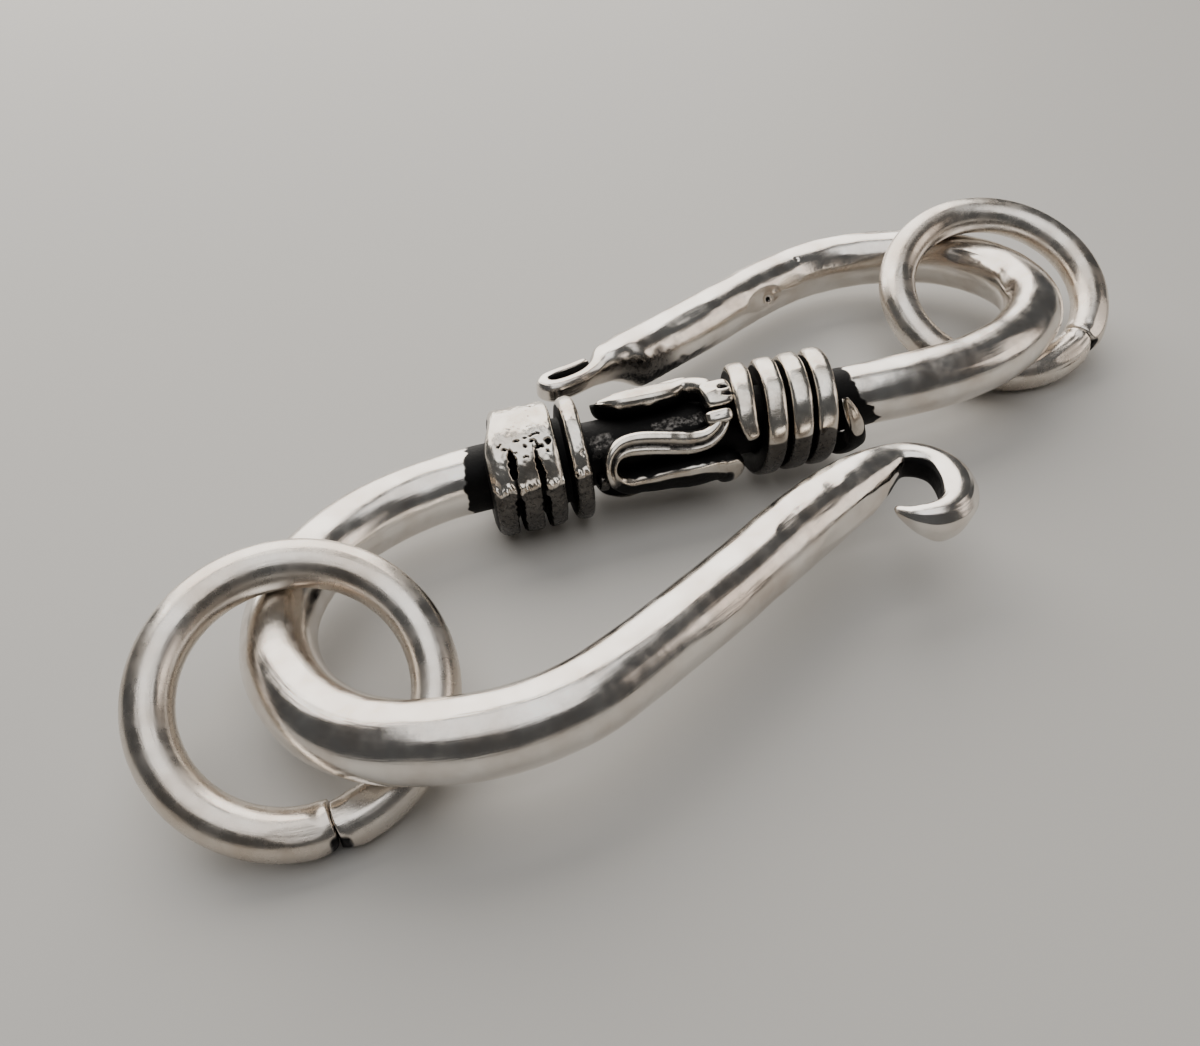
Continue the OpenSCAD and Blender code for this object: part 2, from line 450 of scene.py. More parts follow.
class Rolled:
    """A piece rolled from a flat sheet by two rules: where its skin lies and how dark it is, from tarnish
    and from painted shade.
    """

    name: str
    sheet: Sheet

    def shape(self, s: np.ndarray, t: np.ndarray) -> np.ndarray:
        """Skin of the piece.

        Args:
            s: Share of the sheet's length, 0 to 1.
            t: Share of its girth, 0 to 1.

        Returns:
            Points in mm, one row for each place.
        """
        raise NotImplementedError

    def tarnish_and_shade(self, s: np.ndarray, t: np.ndarray) -> np.ndarray:
        """Oxide on the piece, and painted shade where the piece has it.

        Args:
            s: Share of the sheet's length, 0 to 1.
            t: Share of its girth, 0 to 1.

        Returns:
            Tarnish at each place, from 0 where the silver is bright to 1 where it is black.
        """
        raise NotImplementedError

    def build(self) -> bpy.types.Object:
        """Rolls a flat grid into the closed skin, welds its seam and ends, and scales it to metres.

        Returns:
            The piece at the origin.
        """
        bpy.ops.object.select_all(action="DESELECT")
        bpy.ops.mesh.primitive_grid_add(x_subdivisions=self.sheet.along, y_subdivisions=self.sheet.around,
                                        size=1.0, location=(0.0, 0.0, 0.0))
        piece = bpy.context.object
        piece.name = self.name
        mesh = piece.data
        mesh.name = self.name
        flat = vertex_places(mesh)
        s = flat[:, 0] + 0.5
        t = flat[:, 1] + 0.5
        dress_vertices(mesh, self.shape(s, t), {"tarnish_and_shade": self.tarnish_and_shade(s, t), "lay": self.sheet.lay(s, t)})
        close_up(weld=True)
        piece.scale = (MM, MM, MM)
        bpy.ops.object.transform_apply(location=False, rotation=False, scale=True)
        return piece


@dataclass(frozen=True)
class HookPlace:
    """Where the shaft lies: its middle in mm, its rise to the right and the roll of the hook's plane."""

    middle: tuple[float, float, float] = (-0.578, 0.551, 2.51)
    rise: float = 1.4
    roll: float = 3.68

    def world(self, points: np.ndarray) -> np.ndarray:
        """Takes points from the hook's own frame to the clasp's.

        Args:
            points: Points in mm, one row each.

        Returns:
            The same points in the clasp's frame, in mm.
        """
        rise = Matrix.Rotation(math.radians(-self.rise), 3, "Y")
        roll = Matrix.Rotation(math.radians(-self.roll), 3, "X")
        return points @ np.array(rise @ roll).T + np.array(self.middle)


PLACE = HookPlace()


@dataclass(frozen=True)
class Bend:
    """A stretch of wire and how far it turns to the left over that stretch."""

    length: float
    turn: float


@dataclass(frozen=True)
class Section:
    """The wire's size at a distance from the shaft's middle.

    It has a half width to each side of the wire's path, a height, how far the middle is lifted, and how
    square it is, from 0 for an ellipse. All but the last are in mm.
    """

    distance: float
    left: float
    right: float
    height: float
    lift: float = 0.0
    square: float = 0.0


SECTION_COLUMNS = ("left", "right", "height", "lift", "square")


@dataclass
class Arm:
    """Half of the hook wire, from the shaft's middle out to its tip."""

    heading: float
    straight: float
    bends: list[Bend]
    sections: list[Section]
    step: float = 0.02
    blend_steps: int = 16

    def __post_init__(self) -> None:
        """Walks the bends once and keeps the path."""
        lengths = np.array([0.0, self.straight] + [b.length for b in self.bends]).cumsum()
        turns = np.array([0.0, 0.0] + [b.turn for b in self.bends]).cumsum()
        self.reach = float(lengths[-1])
        self.distance = np.arange(0.0, self.reach + self.step, self.step)
        self.course = self.heading + np.interp(self.distance, lengths, turns)
        middle = np.radians((self.course[1:] + self.course[:-1]) / 2.0)
        self.x = np.concatenate([[0.0], (np.cos(middle) * self.step).cumsum()])
        self.y = np.concatenate([[0.0], (np.sin(middle) * self.step).cumsum()])
        self.size = {}
        for name in SECTION_COLUMNS:
            rows = [(section.distance, getattr(section, name)) for section in self.sections]
            self.size[name] = softened(from_table(rows, self.distance), self.blend_steps)

    def at(self, distance: np.ndarray) -> tuple[np.ndarray, np.ndarray, np.ndarray]:
        """Path at some distances.

        Args:
            distance: Distances from the shaft's middle in mm.

        Returns:
            X, Y and heading in degrees.
        """
        return (np.interp(distance, self.distance, self.x), np.interp(distance, self.distance, self.y),
                np.interp(distance, self.distance, self.course))

    def column(self, distance: np.ndarray, name: str) -> np.ndarray:
        """Value of one section column at some distances."""
        return np.interp(distance, self.distance, self.size[name])


@dataclass(frozen=True)
class Dent:
    """A hammer or plier mark: a leaf-shaped flat set into the wire, facing one way."""

    along: float
    angle: float
    length: float
    depth: float

    def cut(self, u: np.ndarray) -> np.ndarray:
        """Depth of the flat at each place along the wire."""
        return self.depth * np.clip(1.0 - (2.0 * (u - self.along) / self.length) ** 2, 0.0, 1.0)


def hammered(dents: Sequence[Dent], u: np.ndarray, side: np.ndarray, up: np.ndarray,
             half_width: Amount, half_height: Amount,
             flatness: float = 0.92) -> tuple[np.ndarray, np.ndarray]:
    """Flattens a wire's skin wherever a dent faces it.

    Args:
        dents: Marks on the wire.
        u: Distance along the wire.
        side: Sideways part of each section point.
        up: Upward part of each section point.
        half_width: Half the wire's width.
        half_height: Half the wire's height.
        flatness: Share of the metal above a dent's flat that is taken away.

    Returns:
        The two parts after the dents.
    """
    for dent in dents:
        c = math.cos(math.radians(dent.angle))
        n = math.sin(math.radians(dent.angle))
        reach = np.hypot(half_width * c, half_height * n) - dent.cut(u)
        excess = np.clip(side * c + up * n - reach, 0.0, None) * flatness
        side = side - excess * c
        up = up - excess * n
    return side, up


@dataclass(frozen=True)
class Speck:
    """A small pit in the wire, or a nub where its depth is negative. A deep pit has a slight raised rim."""

    along: float
    angle: float
    length: float
    breadth: float
    depth: float
    rim: float = 0.3
    deep: float = 0.08

    def cut(self, u: np.ndarray, angle: np.ndarray) -> np.ndarray:
        """Depth of the pit.

        Args:
            u: Distance along the wire.
            angle: Angle round the wire in degrees.

        Returns:
            Depth in mm at each place.
        """
        across = np.radians(wrapped(angle - self.angle)) * HOOK_RADIUS / self.breadth
        away = np.hypot((u - self.along) / self.length, across)
        rim = self.rim if self.depth > self.deep else 0.0
        return self.depth * (hump(away, 0.0, 1.0) - rim * hump(away, 1.5, 0.5))


@dataclass(frozen=True)
class ShadedWall:
    """Painted shade on the inside of a tight bend: its inner wall is painted black."""

    start: float
    stop: float
    angle: float
    spread: float
    fade: float = 0.6

    def at(self, u: np.ndarray, angle: np.ndarray) -> np.ndarray:
        """Painted shade in the bend.

        Args:
            u: Distance along the wire.
            angle: Angle round the wire in degrees.

        Returns:
            Painted shade at each place, 0 to 1.
        """
        across = np.abs(wrapped(angle - self.angle)) / self.spread
        starts = smooth(self.start, self.start + self.fade, u)
        stops = smooth(self.stop - self.fade, self.stop, u)
        return starts * (1.0 - stops) * (1.0 - smooth(0.85, 1.1, across))


@dataclass(frozen=True)
class RoughPatch:
    """A patch that was never polished out: grainy, with black left in its grain.

    Under the sleeve its black is negative, which leaves a grainy patch clear of the oxide there.
    """

    along: float
    angle: float
    length: float
    spread: float
    height: float
    black: float
    ragged: Ripple = Ripple(seed=14, height=0.14, length=0.9, waves=24, around=14)

    def at(self, u: np.ndarray, angle: np.ndarray) -> np.ndarray:
        """Strength of the patch, with a ragged edge.

        Args:
            u: Distance along the wire.
            angle: Angle round the wire in degrees.

        Returns:
            Strength at each place, 0 to 1.
        """
        across = np.abs(wrapped(angle - self.angle)) / self.spread + self.ragged.at(u, angle)
        along = np.abs(u - self.along) / self.length
        return (1.0 - smooth(0.1, 0.5, along)) * (1.0 - smooth(0.5, 1.0, across))


@dataclass
class HookWire(Rolled):
    """The thick S-shaped wire with its curled near tip and folded far tip.

    Places along it are distances from the shaft's middle, negative on the near half. Angles run round it
    from its left side upwards, seen on the way from the near tip to the far one.
    """

    name: str = "s_wire_look"
    sheet: Sheet = Sheet(1000, 96, 101.0, 7.5)
    straight: float = 7.4
    end_round: float = 0.25
    far_bends: list[Bend] = field(default_factory=lambda: [
        Bend(3, 5), Bend(3, 19), Bend(3, 24), Bend(3, 37), Bend(3, 32), Bend(3, 35), Bend(3, 22),
        Bend(3, 26), Bend(3, 11), Bend(4, -4), Bend(2.5, 2), Bend(1.5, 3), Bend(1.5, -5), Bend(1.22, -18),
        Bend(0.61, -76), Bend(0.62, -84), Bend(0.8, -15), Bend(1.2, 17)])
    near_bends: list[Bend] = field(default_factory=lambda: [
        Bend(3, 17), Bend(3, 24), Bend(3, 29), Bend(3, 27), Bend(3, 27), Bend(3, 36), Bend(3, 22),
        Bend(3, 26), Bend(3, 3), Bend(5, 3), Bend(4, -8), Bend(1.4, -10), Bend(1.2, -54), Bend(1.2, -51),
        Bend(1.4, -32), Bend(1.6, -73), Bend(1.1, -62)])
    far_sections: list[Section] = field(default_factory=lambda: [
        Section(0, 1.2, 1.2, 2.4), Section(41.0, 1.2, 1.2, 2.4), Section(41.5, 1.16, 1.24, 2.36, 0.02, 0.04),
        Section(41.9, 0.84, 1.26, 2.0, 0.18, 0.08), Section(42.5, 0.7, 1.27, 1.6, 0.36, 0.1),
        Section(42.8, 0.58, 1.14, 1.4, 0.42, 0.15), Section(43.2, 0.42, 0.6, 1.06, 0.3, 0.3),
        Section(43.55, 0.36, 0.46, 0.86, 0.3, 0.35), Section(43.9, 0.33, 0.34, 0.78, 0.3, 0.4),
        Section(44.6, 0.4, 0.24, 0.78, 0.3, 0.4), Section(45.4, 0.5, 0.22, 0.8, 0.3, 0.4),
        Section(46.2, 0.4, 0.24, 0.72, 0.3, 0.4), Section(46.8, 0.3, 0.26, 0.68, 0.3, 0.4),
        Section(48.0, 0.28, 0.26, 0.66, 0.3, 0.4), Section(48.4, 0.16, 0.16, 0.46, 0.34)])
    near_sections: list[Section] = field(default_factory=lambda: [
        Section(0, 1.2, 1.2, 2.4), Section(41.4, 1.2, 1.2, 2.4), Section(43.2, 1.12, 1.1, 2.15, 0.05, 0.1),
        Section(44.2, 0.96, 0.9, 1.75, 0.15, 0.15), Section(44.8, 0.78, 0.66, 1.3, 0.28, 0.3),
        Section(45.3, 0.66, 0.54, 1.1, 0.33, 0.4), Section(46.6, 0.6, 0.54, 1.1, 0.3, 0.5),
        Section(47.6, 0.78, 0.56, 1.2, 0.22, 0.5),
        Section(48.3, 0.74, 0.56, 1.25, 0.18, 0.5), Section(49.2, 0.6, 0.54, 1.36, 0.12, 0.5),
        Section(49.9, 0.52, 0.46, 1.4, 0.1, 0.45), Section(50.5, 0.36, 0.34, 0.9, 0.26, 0.3),
        Section(51.0, 0.2, 0.2, 0.4, 0.36), Section(51.3, 0.1, 0.1, 0.2, 0.38)])
    run_rows: Table = field(default_factory=lambda: [
        (0.0, -51.3), (0.19, -38.5), (0.4, -9.2), (0.43, -7.6), (0.53, 5.4), (0.56, 7.4), (0.71, 28.0),
        (1.0, 48.35)])
    dents: list[Dent] = field(default_factory=lambda: [
        Dent(34.25, 12, 2.3, 0.13), Dent(32.3, 22, 1.8, 0.04), Dent(31.0, 34, 2.2, 0.03),
        Dent(36.2, 40, 2.6, 0.03), Dent(38.6, 60, 3.4, 0.03), Dent(29.2, 28, 2.4, 0.03),
        Dent(27.2, 96, 3.6, 0.02), Dent(33.5, 110, 5.0, 0.02), Dent(-40.6, 98, 1.7, 0.045),
        Dent(-39.3, 72, 1.2, 0.03), Dent(-41.9, 80, 1.0, 0.025), Dent(-42.2, 6, 4.4, 0.08),
        Dent(-37.4, 88, 2.6, 0.02), Dent(-35.6, 30, 4.0, 0.02), Dent(-33.2, 80, 4.4, 0.015),
        Dent(-22.0, 70, 5.0, 0.02), Dent(-19.0, 20, 3.0, 0.04), Dent(20.6, 58, 2.6, 0.05),
        Dent(22.4, 38, 2.2, 0.05), Dent(18.4, 40, 2.4, 0.04), Dent(12.0, 132, 4.0, 0.03),
        Dent(-29.5, 150, 5.0, 0.03), Dent(25.0, 150, 4.0, 0.04), Dent(-13.0, 200, 4.0, 0.04)])
    specks: list[Speck] = field(default_factory=lambda: [
        Speck(33.92, 5, 0.13, 0.12, 0.16), Speck(33.4, 12, 0.16, 0.1, -0.04),
        Speck(31.46, 60, 0.09, 0.09, 0.09), Speck(-42.3, 28, 0.4, 0.25, -0.03),
        Speck(-40.2, 80, 0.5, 0.07, 0.018), Speck(-41.0, 52, 0.6, 0.06, 0.014),
        Speck(35.7, 30, 0.35, 0.07, 0.025), Speck(36.9, 52, 0.3, 0.06, 0.02),
        Speck(21.6, 50, 0.5, 0.08, 0.04), Speck(20.0, 46, 0.45, 0.07, 0.04),
        Speck(19.0, 62, 0.3, 0.06, 0.03), Speck(22.9, 44, 0.3, 0.06, 0.03),
        Speck(-50.35, 35, 0.16, 0.5, 0.1)])
    patches: list[RoughPatch] = field(default_factory=lambda: [
        RoughPatch(41.4, -6, 5.6, 50, 0.009, 0.38), RoughPatch(39.6, -42, 7.4, 34, 0.007, 0.44),
        RoughPatch(43.2, 150, 1.2, 40, 0.01, 0.2),
        RoughPatch(20.8, 52, 5.0, 20, 0.005, 0.14), RoughPatch(30.2, 14, 5.4, 13, 0.004, 0.1),
        RoughPatch(-0.2, 124, 5.2, 18, 0.01, -0.5), RoughPatch(-3.2, 134, 2.0, 34, 0.014, -0.54)])
    # Painted shade: black inner walls of the folded far tip, the curled near tip and the near tip's
    # shoulder.
    shaded_walls: tuple[ShadedWall, ...] = (
        ShadedWall(43.9, 49.0, 192.0, 64.0), ShadedWall(-51.0, -44.7, -22.0, 58.0, 1.0),
        ShadedWall(-45.7, -43.8, -46.0, 44.0, 0.5))
    waves: Ripple = Ripple(seed=5, height=0.016, length=6.0, around=2)
    hand: Ripple = Ripple(seed=6, height=0.006, length=1.9, waves=20, around=5)
    grain: Ripple = Ripple(seed=7, height=1.0, length=0.22, waves=90, around=30)
    fine_streaks: Ripple = Ripple(seed=11, height=0.05, length=2.4, waves=18, around=34)
    broad_streaks: Ripple = Ripple(seed=12, height=0.06, length=3.0, waves=10, around=9)
    film_left: Table = field(default_factory=lambda: [
        (-180, -8.0), (-60, -7.7), (-32, -7.75), (0, -7.95), (32, -8.2), (55, -8.35), (70, -8.5),
        (111, -8.43), (140, -8.2), (180, -8.0)])
    film_right: Table = field(default_factory=lambda: [
        (-180, 6.8), (-60, 6.3), (0, 6.4), (14, 6.5), (44, 6.5), (60, 6.65), (78, 6.9), (95, 7.15),
        (111, 7.3), (140, 7.1), (180, 6.8)])
    film_edge: float = 0.1
    pit_black: float = 0.9
    pit_range: tuple[float, float] = (0.03, 0.08)

    def __post_init__(self) -> None:
        """Makes both halves of the path."""
        self.far = Arm(0.0, self.straight, self.far_bends, self.far_sections)
        self.near = Arm(180.0, self.straight, self.near_bends, self.near_sections)

    def run(self, s: np.ndarray) -> np.ndarray:
        """Place along the wire, with more rings where there is more to show."""
        return from_table(self.run_rows, s)

    def turn(self, t: np.ndarray) -> np.ndarray:
        """Angle round the wire in degrees, with the seam underneath."""
        return 360.0 * t - 90.0

    def shape(self, s: np.ndarray, t: np.ndarray) -> np.ndarray:
        """Skin of the wire.

        Args:
            s: Share of the sheet's length, 0 to 1.
            t: Share of its girth, 0 to 1.

        Returns:
            Points in mm, one row for each place.
        """
        u = self.run(s)
        angle = self.turn(t)
        distance = np.abs(u)
        far_side = u >= 0.0
        size = {}
        for name in SECTION_COLUMNS:
            far_value = self.far.column(distance, name)
            size[name] = np.where(far_side, far_value, self.near.column(distance, name))
        # The near half is walked the other way, so its left is this section's right.
        left = np.where(far_side, size["left"], size["right"])
        right = np.where(far_side, size["right"], size["left"])
        fx, fy, fh = self.far.at(distance)
        nx, ny, nh = self.near.at(distance)
        x = np.where(far_side, fx, nx)
        y = np.where(far_side, fy, ny)
        heading = np.radians(np.where(far_side, fh, nh + 180.0))
        power = 1.0 - size["square"]
        half_height = size["height"] / 2.0
        c = np.cos(np.radians(angle))
        side = np.where(c > 0.0, left, right) * signed_power(c, power)
        up = half_height * signed_power(np.sin(np.radians(angle)), power)
        side, up = hammered(self.dents, u, side, up, (left + right) / 2.0, half_height)
        radius = np.hypot(side, up) + 1e-9
        relief = self.relief(u, angle) * np.clip(radius / HOOK_RADIUS, 0.0, 1.0)
        end = np.minimum(self.near.reach + u, self.far.reach - u)
        grown = rounded_end(end, self.end_round) * (1.0 + relief / radius)
        side = side * grown
        up = up * grown
        x = x - side * np.sin(heading)
        y = y + side * np.cos(heading)
        return PLACE.world(np.stack([x, y, up + size["lift"]], axis=1))

    def relief(self, u: np.ndarray, angle: np.ndarray) -> np.ndarray:
        """Small unevenness over the plain section.

        Args:
            u: Place along the wire.
            angle: Angle round the wire in degrees.

        Returns:
            Height in mm at each place.
        """
        height = self.waves.at(u, angle) + self.hand.at(u, angle)
        for speck in self.specks:
            height -= speck.cut(u, angle)
        grain = self.grain.at(u, angle)
        for patch in self.patches:
            height += patch.height * grain * patch.at(u, angle)
        return height

    def tarnish_and_shade(self, s: np.ndarray, t: np.ndarray) -> np.ndarray:
        """Oxide under the sleeve, streaked where the polishing stopped, and in patches and pits, with
        painted shade inside the tight bends.

        Args:
            s: Share of the sheet's length, 0 to 1.
            t: Share of its girth, 0 to 1.

        Returns:
            Tarnish at each place, 0 to 1.
        """
        u = self.run(s)
        angle = self.turn(t)
        towards_near = wrapped(angle - 90.0)
        streaked = u + (self.fine_streaks.at(u, angle) + self.broad_streaks.at(u, angle))
        left = from_table(self.film_left, towards_near)
        right = from_table(self.film_right, towards_near)
        covered = smooth(left - self.film_edge, left + self.film_edge, streaked)
        covered = covered * (1.0 - smooth(right - self.film_edge, right + self.film_edge, streaked))
        # Painted shade inside the tight bends.
        for wall in self.shaded_walls:
            covered += wall.at(u, angle)
        for patch in self.patches:
            covered += patch.black * patch.at(u, angle)
        for speck in self.specks:
            covered += self.pit_black * smooth(*self.pit_range, speck.cut(u, angle))
        return np.clip(covered, 0.0, 1.0)


def round_shaft(x: np.ndarray, angle: np.ndarray, r: np.ndarray) -> np.ndarray:
    """Points at a place along the shaft, an angle from the top towards the near side, and a radius."""
    turn = np.radians(angle)
    return np.stack([x, -r * np.sin(turn), r * np.cos(turn)], axis=-1)


@dataclass
class LaidWire:
    """Thin wire laid on the shaft along a line of places and angles, with its top pressed flat.

    A closed one comes back to its start. The polishing of its top fades out over a little height.
    """

    x: np.ndarray
    angle: np.ndarray
    width: np.ndarray
    inner: float
    outer: float
    flat: float
    closed: bool = False
    fade_below: float = 0.09
    fade_above: float = 0.06

    def __post_init__(self) -> None:
        """Works out the line's steps, its middle radius and its direction at each step."""
        self.steps = np.linspace(0.0, 1.0, len(self.x))
        self.middle = (self.inner + self.outer) / 2.0
        line = round_shaft(self.x, self.angle, np.full(len(self.x), self.middle))
        if self.closed:
            line = np.concatenate([line[-4:-1], line, line[1:4]])
            self.tangent = np.gradient(line, axis=0)[3:-3]
        else:
            self.tangent = np.gradient(line, axis=0)

    def along(self, s: np.ndarray, values: np.ndarray) -> np.ndarray:
        """Reads values that are given for each step at some shares of the line, 0 to 1."""
        return np.interp(s, self.steps, values)

    def rise(self, t: np.ndarray, worn: Amount) -> np.ndarray:
        """Height of the skin above the wire's middle.

        Args:
            t: Share of the way round the wire, 0 to 1.
            worn: Height lost from the top by polishing in mm.

        Returns:
            Height in mm at each place.
        """
        n = np.sin(2.0 * math.pi * t)
        height = (self.outer - self.inner) / 2.0
        up = height * signed_power(n, np.where(n > 0.0, 1.0 - self.flat, 1.0))
        return up - worn * smooth(0.0, 0.6, n)

    def skin(self, s: np.ndarray, t: np.ndarray, worn: Amount, closing: Amount = 1.0) -> np.ndarray:
        """Points of the wire's skin in the hook's frame.

        Args:
            s: Share of the line, 0 to 1.
            t: Share of the way round the wire, 0 to 1.
            worn: Height lost from the top by polishing in mm.
            closing: Share of the full section that is left at each place.

        Returns:
            Points in mm, one row for each place.
        """
        angle = self.along(s, self.angle)
        tangent = np.stack([self.along(s, self.tangent[:, k]) for k in range(3)], axis=1)
        out = round_shaft(np.zeros_like(angle), angle, np.ones_like(angle))
        across = np.cross(out, tangent)
        across /= np.linalg.norm(across, axis=1)[:, None]
        half_width = self.along(s, self.width) / 2.0
        side = half_width * signed_power(np.cos(2.0 * math.pi * t), 1.0 - self.flat * 0.5)
        centre = round_shaft(self.along(s, self.x), angle, np.full_like(angle, self.middle))
        return centre + across * (side * closing)[:, None] + out * (self.rise(t, worn) * closing)[:, None]

    def oxide(self, t: np.ndarray, polished_above: Amount, worn: Amount = 0.0) -> np.ndarray:
        """Oxide left below the radius that the polishing reached.

        Args:
            t: Share of the way round the wire, 0 to 1.
            polished_above: Radius from the shaft's middle in mm.
            worn: Height lost from the top by polishing in mm.

        Returns:
            Oxide at each place, 0 to 1.
        """
        r = self.middle + self.rise(t, worn)
        return 1.0 - smooth(polished_above - self.fade_below, polished_above + self.fade_above, r)


def smooth_loop(points: np.ndarray, pieces: int) -> np.ndarray:
    """Smooth closed curve through points.

    Args:
        points: Points in order, one row each, the first not repeated.
        pieces: Number of pieces for each span.

    Returns:
        Points on the curve, with the first repeated at the end.
    """
    t = np.arange(pieces)[:, None] / pieces
    before, after, beyond = (np.roll(points, steps, axis=0) for steps in (1, -1, -2))
    spans = []
    for a, b, c, d in zip(before, points, after, beyond):
        spans.append((2 * b + (c - a) * t + (2 * a - 5 * b + 4 * c - d) * t ** 2
                      + (3 * b - a - 3 * c + d) * t ** 3) / 2)
    curve = np.concatenate(spans)
    return np.concatenate([curve, curve[:1]])


@dataclass(frozen=True)
class Lump:
    """A blob of melted silver: its place on the shaft and its half sizes in mm.

    The holes are places of slits in its top, each seen from its middle in shares of its half sizes, as are
    the slits' own half sizes.
    """

    x: float
    angle: float
    radius: float
    length: float
    breadth: float
    height: float
    seed: int
    black: float = 0.0
    rough: float = 0.06
    square: float = 3.0
    holes: tuple[tuple[float, float], ...] = ()
    slit_halves: tuple[float, float] = (0.3, 0.11)
    slit_depth: float = 0.16
    slit_black: float = 1.2

    def build(self) -> bpy.types.Object:
        """Makes the blob from a round ball pressed onto the shaft.

        Returns:
            The blob in metres at the origin.
        """
        bpy.ops.object.select_all(action="DESELECT")
        bpy.ops.mesh.primitive_ico_sphere_add(subdivisions=5, radius=1.0, location=(0.0, 0.0, 0.0))
        blob = bpy.context.object
        ball = vertex_places(blob.data)
        longitude = np.degrees(np.arctan2(ball[:, 1], ball[:, 0]))
        uneven = 1.0 + Ripple(self.seed, self.rough, 0.9, waves=10, around=3).at(ball[:, 2], longitude)
        boxy = (np.abs(ball) ** self.square).sum(axis=1) ** (1.0 / self.square)
        shaped = ball / boxy[:, None] * uneven[:, None]
        slit = np.zeros(len(ball))
        for x, y in self.holes:
            here = hump(shaped[:, 0], x, self.slit_halves[0]) * hump(shaped[:, 1], y, self.slit_halves[1])
            slit += here * (shaped[:, 2] > 0.0)
        up = shaped[:, 2] * self.height - self.slit_depth * slit
        turn = self.angle + np.degrees(shaped[:, 1] * self.breadth / self.radius)
        points = PLACE.world(round_shaft(self.x + shaped[:, 0] * self.length, turn, self.radius + up)) * MM
        film = 1.0 - smooth(0.0, 0.3, shaped[:, 2]) + self.slit_black * slit
        dress_vertices(blob.data, points, {"tarnish_and_shade": np.clip(film + self.black, 0.0, 1.0),
                                           "lay": ball * self.height})
        close_up(weld=False)
        return blob


def joined(piece: bpy.types.Object, extras: list[bpy.types.Object]) -> bpy.types.Object:
    """Joins small lumps to the piece that they are melted onto.

    Args:
        piece: Piece that takes the lumps in.
        extras: The lumps.

    Returns:
        The piece with its lumps.
    """
    bpy.ops.object.select_all(action="DESELECT")
    for extra in extras:
        extra.select_set(True)
    piece.select_set(True)
    bpy.context.view_layer.objects.active = piece
    bpy.ops.object.join()
    return piece


@dataclass(frozen=True)
class PetalPoint:
    """A point of one petal's line.

    Place along the shaft, angle from the petal's middle, wire width, how far the wire dips there, and the
    share of the petal's droop that it takes.
    """

    x: float
    angle: float
    width: float
    dip: float = 0.0
    droop: float = 0.0


@dataclass(frozen=True)
class Petal:
    """One petal: the angle of its middle, how wide its wire was beaten, and its droop at the right end.

    Its spread is how much wider, in mm, its lower strand grows towards the right. Its left bend falls
    short by some mm and was pressed in to the depth of sunk. Its waist is the share of its width that its
    lower strand loses from below near the right. Its two dips are the shares that it takes of the line's
    dips at its start and its end.
    """

    angle: float
    beaten: float
    droop: float
    spread: float = 0.0
    short: float = 0.0
    sunk: float = 0.0
    waist: float = 0.0
    first_dip: float = 1.0
    last_dip: float = 1.0


